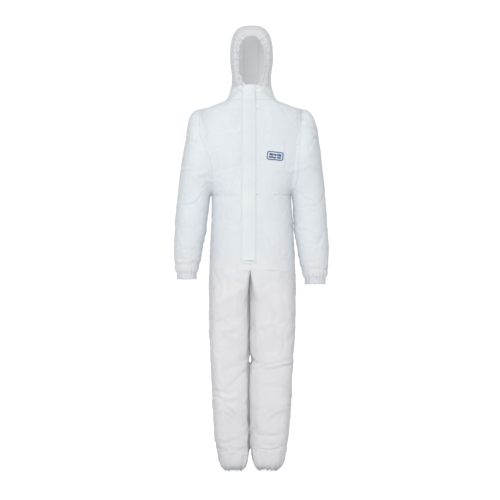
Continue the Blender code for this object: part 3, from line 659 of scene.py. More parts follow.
def folds():
    z, x = REST[:, 2], REST[:, 0]
    total = np.zeros(len(REST))
    listed = (
        # waist
        ([(-0.158, 1.083), (-0.100, 1.087), (-0.040, 1.089)], 0.0012, 0.0057),
        ([(0.028, 1.087), (0.090, 1.088), (0.158, 1.082)], 0.0012, 0.0057),
        # hips
        ([(-0.165, 0.822), (-0.130, 0.820), (-0.100, 0.816)], 0.0014, 0.0046),
        ([(0.055, 0.797), (0.085, 0.796), (0.112, 0.800)], 0.0010, 0.0040),
        ([(-0.050, 0.826), (-0.035, 0.812), (-0.022, 0.798)], 0.0012, 0.0046),
        ([(0.045, 0.828), (0.028, 0.814), (0.014, 0.800)], 0.0012, 0.0046),
        # chest
        ([(-0.113, 1.320), (-0.115, 1.240), (-0.112, 1.170)], 0.0016, 0.0060),
        ([(-0.042, 1.240), (-0.060, 1.180), (-0.098, 1.096)], 0.0022, 0.0055),
        ([(0.140, 1.330), (0.136, 1.260), (0.142, 1.190)], 0.0012, 0.0060),
        ([(0.050, 1.452), (0.058, 1.420), (0.072, 1.370)], 0.0024, 0.0100),
        ([(-0.045, 1.462), (-0.050, 1.420), (-0.047, 1.360)], 0.0024, 0.0090),
        # collar
        ([(-0.026, 1.548), (-0.052, 1.516), (-0.100, 1.480)], 0.0034, 0.0080),
        ([(0.032, 1.545), (0.058, 1.508), (0.108, 1.482)], 0.0050, 0.0085),
        ([(0.040, 1.500), (0.070, 1.492), (0.100, 1.490)], 0.0022, 0.0035),
        ([(-0.090, 1.496), (-0.060, 1.490), (-0.040, 1.492)], 0.0018, 0.0035),
        ([(0.030, 1.525), (0.046, 1.506), (0.052, 1.486)], 0.0018, 0.0040),
        # viewer's right leg
        ([(0.050, 0.206), (0.068, 0.232), (0.105, 0.254), (0.160, 0.266)], 0.0030, 0.0048),
        ([(0.070, 0.212), (0.098, 0.236), (0.140, 0.246)], 0.0020, 0.0040),
        ([(0.052, 0.424), (0.090, 0.432), (0.160, 0.450)], 0.0030, 0.0048),
        ([(0.080, 0.412), (0.120, 0.422), (0.158, 0.428)], 0.0018, 0.0040),
        ([(0.052, 0.565), (0.060, 0.510), (0.066, 0.462)], 0.0022, 0.0060),
        ([(0.088, 0.585), (0.096, 0.530), (0.100, 0.470)], 0.0026, 0.0065),
        ([(0.124, 0.570), (0.130, 0.520), (0.128, 0.476)], 0.0020, 0.0060),
        ([(0.056, 0.150), (0.080, 0.147), (0.108, 0.150)], 0.0024, 0.0040),
        ([(0.040, 0.110), (0.070, 0.104), (0.110, 0.112)], 0.0018, 0.0040),
        ([(0.064, 0.700), (0.070, 0.640), (0.066, 0.590)], 0.0016, 0.0080),
        ([(0.120, 0.740), (0.130, 0.660), (0.140, 0.600)], 0.0016, 0.0080),
        # viewer's left leg
        ([(-0.112, 0.262), (-0.090, 0.250), (-0.064, 0.226)], 0.0030, 0.0045),
        ([(-0.118, 0.238), (-0.096, 0.226), (-0.078, 0.206)], 0.0024, 0.0042),
        ([(-0.158, 0.304), (-0.136, 0.300), (-0.118, 0.286)], 0.0026, 0.0045),
        ([(-0.100, 0.160), (-0.074, 0.150), (-0.040, 0.156)], 0.0020, 0.0042),
        ([(-0.140, 0.128), (-0.110, 0.118), (-0.080, 0.122)], 0.0020, 0.0040),
        ([(-0.040, 0.740), (-0.050, 0.660), (-0.046, 0.600)], 0.0016, 0.0080),
        ([(-0.100, 0.770), (-0.112, 0.690), (-0.120, 0.620)], 0.0016, 0.0090),
        ([(-0.120, 0.470), (-0.124, 0.420), (-0.116, 0.360)], 0.0014, 0.0080),
        # sleeves
        ([(-0.224, 1.372), (-0.206, 1.352), (-0.196, 1.330)], 0.0018, 0.0050),
        ([(-0.250, 1.320), (-0.222, 1.296), (-0.205, 1.270)], 0.0016, 0.0060),
        ([(0.214, 1.405), (0.232, 1.396), (0.256, 1.388)], 0.0024, 0.0045),
        ([(0.212, 1.372), (0.236, 1.376), (0.256, 1.360)], 0.0022, 0.0045),
        ([(0.255, 1.330), (0.238, 1.300), (0.222, 1.260)], 0.0018, 0.0060),
        ([(-0.196, 1.100), (-0.218, 1.070), (-0.250, 1.058)], 0.0018, 0.0060),
        ([(0.192, 1.110), (0.214, 1.082), (0.250, 1.072)], 0.0020, 0.0060),
        ([(-0.280, 0.960), (-0.262, 0.900), (-0.258, 0.850)], 0.0014, 0.0070),
        ([(0.286, 0.960), (0.266, 0.900), (0.262, 0.850)], 0.0014, 0.0070),
    )
    for index, (path, depth, width) in enumerate(listed):
        strength = 1.45 if path[0][1] < 0.60 else 0.9
        total += crease(path, depth * strength, width, side=1 if index % 2 else -1)
    for path, depth, width in (
        ([(-0.050, 1.70), (-0.044, 1.63), (-0.048, 1.56)], 0.0040, 0.0060),
        ([(-0.026, 1.69), (-0.020, 1.64), (-0.024, 1.58)], 0.0032, 0.0050),
        ([(0.026, 1.70), (0.022, 1.62), (0.026, 1.55)], 0.0045, 0.0060),
        ([(0.048, 1.70), (0.052, 1.64), (0.044, 1.57)], 0.0036, 0.0060),
        ([(-0.040, 1.560), (0.0, 1.544), (0.042, 1.556)], 0.0030, 0.0050),
        ([(-0.100, 1.30), (-0.090, 1.20), (-0.060, 1.11)], 0.0024, 0.0070),
        ([(0.110, 1.32), (0.092, 1.22), (0.066, 1.12)], 0.0024, 0.0070),
        ([(-0.150, 1.084), (0.0, 1.078), (0.150, 1.084)], 0.0042, 0.0080),
        ([(-0.120, 0.96), (-0.100, 0.90), (-0.060, 0.84)], 0.0028, 0.0080),
        ([(0.120, 0.95), (0.096, 0.88), (0.050, 0.83)], 0.0028, 0.0080),
        ([(-0.110, 0.74), (-0.080, 0.68), (-0.090, 0.60)], 0.0022, 0.0080),
        ([(0.110, 0.72), (0.086, 0.66), (0.092, 0.58)], 0.0022, 0.0080),
        ([(-0.130, 0.46), (-0.090, 0.45), (-0.040, 0.46)], 0.0028, 0.0060),
        ([(0.040, 0.44), (0.090, 0.43), (0.130, 0.45)], 0.0028, 0.0060),
    ):
        total += crease(path, depth, width, facing=1)
    total += swell(-0.090, 0.246, 0.030, 0.020, 0.0035)
    total += swell(0.105, 0.270, 0.045, 0.016, 0.0025)
    total += swell(0.105, 0.458, 0.050, 0.018, 0.0025)
    # slow waves everywhere, stronger on the legs, none under the flap
    calm = ease(np.abs(x) + np.where(z > 0.84, 0.0, 1.0), 0.030, 0.060)
    legs = 1 - ease(z, 0.70, 0.82)
    wave = noise(REST * np.array((1.0, 1.0, 0.55)), 0.11, 5) * (0.0006 + 0.0006 * legs)
    wave += noise(REST * np.array((1.0, 1.0, 0.8)), 0.045, 6) * (0.00025 + 0.0003 * legs)
    return total + wave * calm


def arc_about(centre_x, across, deep):
    """Angle round an opening of each sleeve or leg."""
    return np.arctan2(REST[:, 1] / deep, (np.abs(REST[:, 0]) - centre_x) / across)


def gathers(angle, count, seed):
    """Uneven pleats round a ring, about -1 to 1, sharper in the valleys."""
    source = np.random.default_rng(seed)
    bend = sum(
        source.uniform(0.25, 0.6) * np.sin(k * angle + source.uniform(0, 6.28)) for k in (1, 2, 3, 5)
    )
    wave = np.sin(count * angle + bend * 1.6 + source.uniform(0, 6.28))
    other = np.sin((count * 0.61) * angle - bend * 2.1 + source.uniform(0, 6.28))
    mixed = 0.72 * wave + 0.28 * other
    return np.where(mixed > 0, mixed, mixed * 1.25)


def pleats():
    x, z = REST[:, 0], REST[:, 2]
    total = np.zeros(len(REST))
    for side, sign in SIDES:
        end = CUFF_END[side]
        own = (x * sign > 0.19) & (z < 1.0)
        angle = arc_about(0.2557, 0.041, 0.044)
        top = end + CUFF_LENGTH
        above = np.exp(-np.clip(z - top, 0, 1) / 0.030) * (z >= top - 0.001)
        band = (z < top - 0.001) * 0.42
        total += np.where(own, gathers(angle, 17, 11 + sign) * (0.0026 * above + 0.0026 * band), 0)
        # the sleeve balloons a little over the elastic, and a step marks the band's stitching
        total += np.where(own, 0.0022 * np.exp(-(((z - top - 0.016) / 0.012) ** 2)), 0)
        total -= np.where(own, 0.0016 * np.exp(-(((z - top) / 0.0022) ** 2)), 0)
        leg = (x * sign > 0) & (z < 0.20)
        angle = arc_about(0.068, 0.060, 0.075)
        above = np.exp(-np.clip(z - 0.010, 0, 1) / 0.034)
        total += np.where(leg, gathers(angle, 19, 31 + sign) * 0.0030 * above, 0)
        low = np.exp(-(((z - 0.05) / 0.04) ** 2))
        total += np.where(leg, gathers(angle, 8, 35 + sign) * 0.0022 * low, 0)
    return total


def rim_pleats():
    """Radial puckers round the face opening, and the raised line of its casing."""
    x, y, z = REST.T
    outside = np.zeros(len(REST))
    levels = np.linspace(CHIN, FACE_HIGH, 240)
    halves = np.array([face_half(level) for level in levels])
    around = (np.concatenate((halves, -halves[::-1])), np.concatenate((levels, levels[::-1])))
    edge = np.column_stack(around)
    near = (z > CHIN - 0.03) & (z < SUIT_TOP) & (y < 0.03) & (np.abs(x) < 0.10)
    chosen = np.flatnonzero(near)
    away = np.full(len(REST), 1.0)
    place = np.zeros(len(REST))
    gone = np.append(0, np.cumsum(np.linalg.norm(np.diff(edge, axis=0), axis=1)))
    for block in np.array_split(chosen, 20):
        distance = np.linalg.norm(REST[block][:, None, (0, 2)] - edge[None], axis=2)
        best = distance.argmin(axis=1)
        away[block] = distance[np.arange(len(block)), best]
        place[block] = gone[best]
    depth_in = y - (-0.103)
    away = np.hypot(away, np.where(near, depth_in * 0.9, 0))
    source = np.random.default_rng(77)
    bend = sum(
        source.uniform(0.3, 0.8) * np.sin(place / length + source.uniform(0, 6))
        for length in (0.05, 0.03, 0.017)
    )
    side_share = 0.35 + 0.65 * ease(np.abs(x), 0.018, 0.045)
    fade = np.exp(-((away / 0.036) ** 2)) * near
    wave = np.sin(place / 0.0100 * 2 * math.pi / 1.25 + bend * 2.4)
    slow = np.sin(place / 0.021 * 2 * math.pi / 1.25 + bend * 2.6)
    outside += (0.0018 * wave + 0.0026 * slow) * fade * side_share
    # the casing's roll, its stitch line and the swell behind it
    outside += near * 0.0022 * np.exp(-(((away - 0.006) / 0.006) ** 2))
    outside -= near * 0.0016 * np.exp(-(((away - 0.0135) / 0.0022) ** 2))
    outside += near * 0.0030 * np.exp(-(((away - 0.026) / 0.010) ** 2)) * side_share
    roll = np.exp(-away / 0.0032) * near
    return outside, roll, near


offset = folds() + pleats()
rim, rim_roll, rim_near = rim_pleats()
offset += rim
points = REST + normals * offset[:, None]
points[:, 1] += rim_roll * 0.0040


# Height, and the shift to +X there
LEAN = (
    (0.00, 0.000),
    (0.04, 0.001),
    (0.136, 0.003),
    (0.22, 0.005),
    (0.70, 0.005),
    (0.90, 0.004),
    (1.20, 0.002),
    (1.35, 0.0045),
    (1.80, 0.004),
)
# Extra on the wearer's right: trunk and legs, then sleeve
TUCK = (
    (0.00, 0.002),
    (0.05, 0.007),
    (0.11, 0.006),
    (0.15, 0.004),
    (0.48, 0.003),
    (0.60, 0.007),
    (0.88, 0.008),
    (1.00, 0.007),
    (1.08, 0.004),
    (1.12, 0.0),
    (1.80, 0.002),
)
SLEEVE_TUCK = (
    (0.70, 0.0),
    (1.00, 0.0),
    (1.12, 0.004),
    (1.24, 0.008),
    (1.32, 0.008),
    (1.40, 0.003),
    (1.45, 0.0),
)
SLEEVE_SLIM = ((0.70, 0.0), (0.78, -0.004), (0.88, -0.010), (0.98, -0.006), (1.06, 0.0))
ARM_INNER_EDGE = ((0.745, 0.215), (0.90, 0.184), (1.02, 0.1705), (1.10, 0.163), (1.438, 0.202))


def by_height(table, z):
    return np.interp(z, *np.array(table).T)


def lean(at):
    """The suit hangs a little off centre. The middle of the front stays where the zip is."""
    x, _, z = at.T
    right = ease(-x, 0.010, 0.110)
    arm = (z > 0.74) & (-x > by_height(ARM_INNER_EDGE, z) - 0.004) & (z < 1.46)
    outside = ease(-x, 0.22, 0.29)
    sleeve = by_height(SLEEVE_TUCK, z) * ease(-x, 0.15, 0.25)
    sleeve += by_height(SLEEVE_SLIM, z) * (1 - outside)
    centre = np.where(z < 1.50, ease(np.abs(x), 0.010, 0.110), 1.0)
    return by_height(LEAN, z) * centre + right * np.where(arm, sleeve, by_height(TUCK, z))


def shoulder_lift(at):
    x, _, z = at.T
    return 0.0055 * np.exp(-(((np.abs(x) - 0.212) / 0.032) ** 2)) * ease(z, 1.375, 1.432)


def ankle_arch(at):
    """The front of each ankle's edge is drawn up a little."""
    x, y, z = at.T
    middle = np.exp(-(((np.abs(x) - 0.062) / 0.020) ** 2))
    return 0.0025 * middle * (1 - ease(z, 0.008, 0.034)) * ease(-y, 0.02, 0.05)


points[:, 2] += shoulder_lift(REST) + ankle_arch(REST)
points[:, 0] += lean(REST)


def inseam_sway(at):
    """The two inner leg walls wave together, so they nest and keep their gap."""
    x, y, z = at.T
    inner = 1 - ease(np.abs(x), 0.012, 0.045)
    open_gap = np.exp(-(((z - 0.446) / 0.014) ** 2))
    levels = ease(CROTCH - z, 0.0, 0.05) * (1 - open_gap) * ease(z, 0.06, 0.12)
    depth = ease(y, -0.095, -0.060) * (1 - ease(y, 0.060, 0.095))
    return 0.0062 * np.sin(y * 2 * math.pi / 0.085 + 0.9 + 3.0 * z) * inner * levels * depth


points[:, 0] += inseam_sway(REST)
points[:, 2] = np.maximum(points[:, 2], FLOOR_GAP)


# ---------------------------------------------------------------- cloth


DRAPE_FRAMES = 16
MOST_DRAPE = 0.008


def drape(points):
    """Lets the fabric buckle a little under its own weight, held near its shape by weak pins."""
    mesh = bpy.data.meshes.new("drape")
    mesh.from_pydata(points.tolist(), [], faces)
    obj = bpy.data.objects.new("drape", mesh)
    bpy.context.scene.collection.objects.link(obj)
    group = obj.vertex_groups.new(name="hold")
    x, y, z = REST.T
    hold = 0.30 + 0.10 * noise(REST, 0.09, 21)
    hold = hold - 0.08 * (1 - ease(z, 0.72, 0.86))
    fixed = np.zeros(len(z))
    for side, sign in SIDES:
        top = CUFF_END[side] + CUFF_LENGTH
        fixed = np.maximum(fixed, (x * sign > 0.19) * (z < 1.0) * (1 - ease(z, top, top + 0.05)))
    fixed = np.maximum(fixed, 1 - ease(z, 0.03, 0.09))
    fixed = np.maximum(fixed, ease(z, 1.44, 1.475) * (1 - ease(z, 1.52, 1.60) * 0.4))
    fixed = np.maximum(fixed, rim_near * np.exp(-((y + 0.103) / 0.03) ** 2))
    fixed = np.maximum(fixed, (np.abs(x) < 0.030) * (y < 0) * (z > 0.82) * 0.95)
    hold = np.clip(np.maximum(hold, fixed), 0.05, 1.0)
    for level in np.unique(np.round(hold, 2)):
        group.add(np.flatnonzero(np.round(hold, 2) == level).tolist(), float(level), "REPLACE")
    cloth = obj.modifiers.new("cloth", "CLOTH")
    setting = cloth.settings
    setting.quality = 4
    setting.mass = 0.12
    setting.air_damping = 4.0
    setting.tension_stiffness = setting.compression_stiffness = 30.0
    setting.shear_stiffness = 12.0
    setting.bending_stiffness = 0.6
    setting.vertex_group_mass = "hold"
    setting.pin_stiffness = 1.0
    setting.shrink_min = -0.017
    setting.shrink_max = -0.017
    cloth.collision_settings.use_collision = False
    cloth.point_cache.frame_start = 1
    cloth.point_cache.frame_end = DRAPE_FRAMES
    scene = bpy.context.scene
    scene.frame_start, scene.frame_end = 1, DRAPE_FRAMES
    for number in range(1, DRAPE_FRAMES + 1):
        scene.frame_set(number)
        graph = bpy.context.evaluated_depsgraph_get()
        obj.evaluated_get(graph)
    result = obj.evaluated_get(graph).to_mesh()
    found = np.empty(len(points) * 3, np.float32)
    result.vertices.foreach_get("co", found)
    found = found.reshape(-1, 3).astype(float)
    obj.evaluated_get(graph).to_mesh_clear()
    scene.frame_set(1)
    bpy.data.objects.remove(obj, do_unlink=True)
    bpy.data.meshes.remove(mesh)
    moved = found - points
    length = np.linalg.norm(moved, axis=1, keepdims=True)
    return points + moved * np.minimum(1, MOST_DRAPE / np.maximum(length, 1e-9))


points = drape(points)
points[:, 2] = np.maximum(points[:, 2], FLOOR_GAP)

# ---------------------------------------------------------------- finishes


def material(name, colour, roughness, metallic=0.0):
    made = bpy.data.materials.new(name)
    made.use_nodes = True
    shader = made.node_tree.nodes["Principled BSDF"]
    shader.inputs["Base Color"].default_value = (*colour, 1)
    shader.inputs["Roughness"].default_value = roughness
    shader.inputs["Metallic"].default_value = metallic
    return made, made.node_tree, shader


def node(tree, kind, **values):
    made = tree.nodes.new(kind)
    for key, value in values.items():
        if key in made.inputs:
            made.inputs[key].default_value = value
        else:
            setattr(made, key.lower(), value)
    return made


def ramp(tree, source, low, high, colours):
    made = tree.nodes.new("ShaderNodeValToRGB")
    made.color_ramp.elements[0].position, made.color_ramp.elements[1].position = low, high
    for element, colour in zip(made.color_ramp.elements, colours):
        element.color = (*colour, 1)
    tree.links.new(source, made.inputs[0])
    return made.outputs["Color"]


def nonwoven(name, light, dark, bump=0.25, through=0.22, low_painted_tint_light=None, low_painted_tint_dark=None):
    """Coated non-woven: fine bond dots, slight crinkles, a soft sheen and a little light through it.

    Given a lower pair of colours, the tint drifts to it below the hips; that greyer, less blue tint is
    painted light, standing in for the different light on the legs."""
    made, tree, shader = material(name, light, 0.62)
    shader.inputs["Specular IOR Level"].default_value = 0.32
    shader.inputs["Sheen Weight"].default_value = 0.12
    shader.inputs["Sheen Roughness"].default_value = 0.5
    place = tree.nodes.new("ShaderNodeTexCoord").outputs["Object"]
    broad = node(tree, "ShaderNodeTexNoise", Scale=6.0, Detail=3.0)
    fine = node(tree, "ShaderNodeTexNoise", Scale=220.0, Detail=4.0, Roughness=0.65)
    crinkle = node(tree, "ShaderNodeTexNoise", Scale=38.0, Detail=3.0, Distortion=0.8)
    dots = node(tree, "ShaderNodeTexVoronoi", Scale=620.0)
    for texture in (broad, fine, crinkle, dots):
        tree.links.new(place, texture.inputs["Vector"])
    colour = ramp(tree, broad.outputs["Fac"], 0.35, 0.68, (dark, light))
    # painted light: the lower pair of colours gives the legs a greyer tint for the different light there
    if low_painted_tint_light is not None:
        low = ramp(tree, broad.outputs["Fac"], 0.35, 0.68, (low_painted_tint_dark, low_painted_tint_light))
        split = tree.nodes.new("ShaderNodeSeparateXYZ")
        tree.links.new(place, split.inputs[0])
        height = node(tree, "ShaderNodeMapRange")
        height.inputs["From Min"].default_value, height.inputs["From Max"].default_value = 0.74, 0.90
        tree.links.new(split.outputs["Z"], height.inputs["Value"])
        both = tree.nodes.new("ShaderNodeMix")
        both.data_type = "RGBA"
        tree.links.new(height.outputs["Result"], both.inputs["Factor"])
        tree.links.new(low, both.inputs[6])
        tree.links.new(colour, both.inputs[7])
        colour = both.outputs[2]
    tree.links.new(colour, shader.inputs["Base Color"])
    rough = node(tree, "ShaderNodeMapRange")
    rough.inputs["To Min"].default_value, rough.inputs["To Max"].default_value = 0.52, 0.72
    tree.links.new(fine.outputs["Fac"], rough.inputs["Value"])
    tree.links.new(rough.outputs["Result"], shader.inputs["Roughness"])
    height = None
    steps = (
        (bump, 0.0012, crinkle.outputs["Fac"]),
        (bump * 0.8, 0.0003, dots.outputs["Distance"]),
        (bump * 0.5, 0.0003, fine.outputs["Fac"]),
    )
    for strength, distance, source in steps:
        step = node(tree, "ShaderNodeBump", Strength=strength, Distance=distance)
        tree.links.new(source, step.inputs["Height"])
        if height is not None:
            tree.links.new(height, step.inputs["Normal"])
        height = step.outputs["Normal"]
    tree.links.new(height, shader.inputs["Normal"])
    glow = tree.nodes.new("ShaderNodeBsdfTranslucent")
    glow.inputs["Color"].default_value = (0.93, 0.95, 0.97, 1)
    mix = tree.nodes.new("ShaderNodeMixShader")
    mix.inputs["Fac"].default_value = through
    tree.links.new(shader.outputs["BSDF"], mix.inputs[1])
    tree.links.new(glow.outputs["BSDF"], mix.inputs[2])
    tree.links.new(mix.outputs["Shader"], tree.nodes["Material Output"].inputs["Surface"])
    return made


# The lower pair of colours is painted light: a greyer, less blue tint below the hips for the different light
# on the legs.
SUIT = nonwoven(
    "coverall_fabric",
    (0.82, 0.86, 0.89),
    (0.78, 0.82, 0.855),
    low_painted_tint_light=(0.86, 0.85, 0.870),
    low_painted_tint_dark=(0.815, 0.805, 0.825),
)
# The hood's copy of the fabric lets more light through, which is real; its warmer, less blue grey than the
# suit is a painted highlight tint.
HOODED = nonwoven("coverall_fabric_hood", (0.85, 0.85, 0.865), (0.80, 0.80, 0.82), through=0.45)
FLAP = nonwoven("coverall_fabric_flap", (0.85, 0.885, 0.91), (0.81, 0.845, 0.88), bump=0.18)
BANDS = nonwoven("coverall_fabric_bands", (0.80, 0.82, 0.85), (0.74, 0.76, 0.79), bump=0.4)
THREAD = nonwoven("sewing_thread", (0.74, 0.77, 0.80), (0.62, 0.65, 0.69), bump=0.5, through=0.0)
BADGE_WHITE = nonwoven("badge_ground", (0.86, 0.88, 0.90), (0.83, 0.85, 0.875), bump=0.15, through=0.0)
BADGE_BLUE = nonwoven("badge_print", (0.07, 0.15, 0.31), (0.05, 0.11, 0.25), bump=0.15, through=0.0)

# ---------------------------------------------------------------- pieces of the garment


def at_rest(place):
    """The garment point that started nearest to this place."""
    return int(np.argmin(((REST - np.asarray(place)) ** 2).sum(axis=1)))


def piece_object(name, chosen, finish, whole_normals):
    """One object from the garment's faces, shaded as part of the whole."""
    kept = [faces[i] for i in chosen]
    used = sorted({v for face in kept for v in face})
    renumber = {v: i for i, v in enumerate(used)}
    mesh = bpy.data.meshes.new(name)
    mesh.from_pydata(points[used].tolist(), [], [[renumber[v] for v in face] for face in kept])
    mesh.polygons.foreach_set("use_smooth", [True] * len(kept))
    mesh.normals_split_custom_set_from_vertices(whole_normals[used].tolist())
    mesh.materials.append(finish)
    mesh.update()
    obj = bpy.data.objects.new(name, mesh)
    bpy.context.scene.collection.objects.link(obj)
    return obj


final_normals = normals_of(points, faces)
LOOK = {"cuff": BANDS, "ankle": BANDS, "hood": HOODED, "casing": HOODED}
made = {}
for number, piece in enumerate(PIECES):
    finish = LOOK.get(piece.split("_")[0], SUIT)
    made[piece] = piece_object(piece + "_fabric", np.flatnonzero(pieces == number), finish, final_normals)

# Where each limb starts and ends its bend, as (x, z) for the wearer's left
ELBOW_BEND = ((0.236, 1.046), (0.238, 0.935))
HIP_BEND = ((0.088, 0.800), (0.088, 0.640))
KNEE_BEND = ((0.085, 0.560), (0.085, 0.370))


def tree_of(places):
    tree = KDTree(len(places))
    for index, place in enumerate(places):
        tree.insert(place, index)
    tree.balance()
    return tree


garment_kd = tree_of(points)
sleeve_kd = {}
for side, sign in SIDES:
    sleeve, stations, _ = sleeve_grid(side)
    sleeve_kd[side] = (tree_of(sleeve.reshape(-1, 3) * (sign, 1, 1)), stations)


def blend_arm(obj, side):
    """Finds each point's distance along the sleeve from the armhole but sets no weights from it; the points
    are put back and the object's transform is cleared.
    """
    tree, stations = sleeve_kd[side]
    places = [vertex.co.copy() for vertex in obj.data.vertices]
    for vertex, place in zip(obj.data.vertices, places):
        start = REST[garment_kd.find(place)[1]]
        vertex.co = (stations[tree.find(start)[1] // SLEEVE_RING], 0, 0)
    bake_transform(obj)
    for vertex, place in zip(obj.data.vertices, places):
        vertex.co = place
    obj.data.update()


def bend(obj, a, b, ends, sign):
    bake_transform(obj)


for side, sign in SIDES:
    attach(made[f"front_{side}"], "torso")
    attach(made[f"back_{side}"], "torso")
    blend_arm(made[f"sleeve_head_{side}"], side)
    bend(made[f"sleeve_{side}"], f"upper_arm_{side}", f"forearm_{side}", ELBOW_BEND, sign)
    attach(made[f"cuff_{side}"], f"forearm_{side}")
    bend(made[f"thigh_{side}"], "torso", f"thigh_{side}", HIP_BEND, sign)
    bend(made[f"shin_{side}"], f"thigh_{side}", f"shin_{side}", KNEE_BEND, sign)
    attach(made[f"ankle_{side}"], f"shin_{side}")
    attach(made[f"collar_{side}"], "torso")
    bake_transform(made[f"hood_{side}"])
    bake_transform(made[f"casing_{side}"])
    for piece, nodes in (
        ("front", ("front_panel",)),
        ("back", ("back_panel",)),
        ("sleeve", ("upper_sleeve", "lower_sleeve")),
        ("cuff", ("wrist_elastic",)),
        ("thigh", ("thigh_front", "thigh_back")),
        ("shin", ("shin_front", "shin_back")),
        ("ankle", ("ankle_elastic",)),
        ("collar", ("collar",)),
        ("hood", ("hood_side",)),
    ):
        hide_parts(*(f"{cad_node}_{side}" for cad_node in nodes))
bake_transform(made["hood_centre"])
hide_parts("hood_centre_panel")
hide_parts("face_elastic")


# ---------------------------------------------------------------- seams


def link_mesh(name, points_in, faces_in, finish):
    mesh = bpy.data.meshes.new(name)
    mesh.from_pydata([tuple(p) for p in points_in], [], faces_in)
    mesh.polygons.foreach_set("use_smooth", [True] * len(faces_in))
    mesh.materials.append(finish)
    mesh.update()
    obj = bpy.data.objects.new(name, mesh)
    bpy.context.scene.collection.objects.link(obj)
    return obj


def quads(rows, columns):
    return [
        (i * columns + j, i * columns + j + 1, (i + 1) * columns + j + 1, (i + 1) * columns + j)
        for i in range(rows - 1)
        for j in range(columns - 1)
    ]


def tube_points(path, radius, sides=6, ripple=0.0):
    """A thin roll along a path, with a slight ripple as stitched fabric has."""
    path = np.asarray(path, float)
    way = np.gradient(path, axis=0)
    way /= np.linalg.norm(way, axis=1, keepdims=True)
    start = np.array((0.0, 0.0, 1.0)) if abs(way[0][2]) < 0.8 else np.array((0.0, 1.0, 0.0))
    made_points, made_faces = [], []
    across = np.cross(way[0], start)
    for i, (p, w) in enumerate(zip(path, way)):
        across = across - w * (across @ w)
        across /= np.linalg.norm(across)
        other = np.cross(w, across)
        r = radius * (1 + ripple * math.sin(i * 2.1))
        for k in range(sides):
            turn = 2 * math.pi * k / sides
            made_points.append(p + r * (math.cos(turn) * across + math.sin(turn) * other))
    count = len(path)
    for i in range(count - 1):
        for k in range(sides):
            m = (k + 1) % sides
            made_faces.append((i * sides + k, i * sides + m, (i + 1) * sides + m, (i + 1) * sides + k))
    made_faces.append(tuple(reversed(range(sides))))
    made_faces.append(tuple(range((count - 1) * sides, count * sides)))
    return made_points, made_faces


def seam(name, rest_path, radius=0.0009, lift=0.0003):
    picked = []
    for place in rest_path:
        index = at_rest(place)
        if not picked or picked[-1] != index:
            picked.append(index)
    path = points[picked] + final_normals[picked] * lift
    return link_mesh(name, *tube_points(path, radius, ripple=0.12), THREAD)


garment_tree = BVHTree.FromPolygons([Vector(p) for p in points], faces)
# Height and distance from the middle of the seam between front and sleeve
ARMHOLE_SEAM = {
    "left": ((1.10, 0.166), (1.16, 0.186), (1.24, 0.192), (1.312, 0.197), (1.38, 0.203), (1.44, 0.206)),
    "right": ((1.10, 0.151), (1.15, 0.151), (1.208, 0.153), (1.273, 0.171), (1.353, 0.203), (1.44, 0.200)),
}
TORSO_LINES = torso_grid()
LEG_LINES = leg_grid()
for side, sign in SIDES:
    flip = np.array((sign, 1, 1))
    sleeve, stations, cuff_start = sleeve_grid(side)
    front_line = []
    for z in np.linspace(SHOULDER - 0.010, ARMPIT + 0.006, 90):
        x = float(smooth(ARMHOLE_SEAM[side], 1, z))
        hit = garment_tree.ray_cast(Vector((sign * x, -0.4, z)), Vector((0, 1, 0)))
        front_line.append(np.array(hit[0]))
    back_half = [points[at_rest(place)] for place in sleeve[0, SLEEVE_RING // 2 + 2 : -2] * flip]
    ring = link_mesh(f"armhole_seam_{side}", *tube_points(front_line + back_half[:-2], 0.0009), THREAD)
    blend_arm(ring, side)
    head = int(np.searchsorted(stations, HEAD_LENGTH - 1e-6))
    upper = seam(f"underarm_seam_upper_{side}", sleeve[1 : head + 1, SLEEVE_RING // 2] * flip)
    blend_arm(upper, side)
    under = seam(f"underarm_seam_{side}", sleeve[head:-9, SLEEVE_RING // 2] * flip)
    bend(under, f"upper_arm_{side}", f"forearm_{side}", ELBOW_BEND, sign)
    edge = TORSO_LINES[:, QUARTER - 1] * flip
    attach(seam(f"side_seam_{side}", edge[:46]), "torso")
    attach(seam(f"shoulder_seam_{side}", edge[46 + SLEEVE_RING // 2 :]), "torso")
    heights = LEG_LINES[:, 0, 2]
    outer = LEG_LINES[:, 0] * flip
    upper = seam(f"thigh_seam_{side}", outer[heights >= LEG_SPLIT - 0.004])
    bend(upper, "torso", f"thigh_{side}", HIP_BEND, sign)
    lower = seam(f"shin_seam_{side}", outer[(heights <= LEG_SPLIT + 0.004) & (heights > 0.03)])
    bend(lower, f"thigh_{side}", f"shin_{side}", KNEE_BEND, sign)
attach(seam("back_seam", TORSO_LINES[:, -1]), "torso")
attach(seam("front_seam", TORSO_LINES[:5, 0]), "torso")
neck = np.vstack((TORSO_LINES[-1], (TORSO_LINES[-1] * np.array((-1, 1, 1)))[::-1][1:-1]))
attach(seam("neck_seam", neck, radius=0.0007), "torso")


def strip_seam(sign):
    """Along the hood's centre strip, from the face opening over the crown to the nape."""
    path = []
    x = sign * STRIP
    for y in np.linspace(-0.092, 0.095, 60):
        hit = garment_tree.ray_cast(Vector((x + 0.004, y, 1.9)), Vector((0, 0, -1)))
        if hit[0] is not None:
            path.append(np.array(hit[0]))
    for z in np.linspace(path[-1][2] - 0.004, COLLAR_BACK_HEIGHT, 50):
        hit = garment_tree.ray_cast(Vector((x + 0.004, 0.4, z)), Vector((0, -1, 0)))
        if hit[0] is not None:
            path.append(np.array(hit[0]))
    return path


for side, sign in SIDES:
    strip = link_mesh(f"hood_seam_{side}", *tube_points(strip_seam(sign), 0.0008, ripple=0.12), THREAD)
    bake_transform(strip)

# ---------------------------------------------------------------- flap


ZIP_TILT = math.atan(FRONT_SLOPE)


def zip_place(x, y, z):
    """A point given across, in front of and up along the zip's line, in the world."""
    up = (z - ZIP_LOW) / math.cos(ZIP_TILT)
    return np.array(
        (
            x,
            front_y(ZIP_LOW) + y * math.cos(ZIP_TILT) + up * math.sin(ZIP_TILT),
            ZIP_LOW + up * math.cos(ZIP_TILT) - y * math.sin(ZIP_TILT),
        )
    )


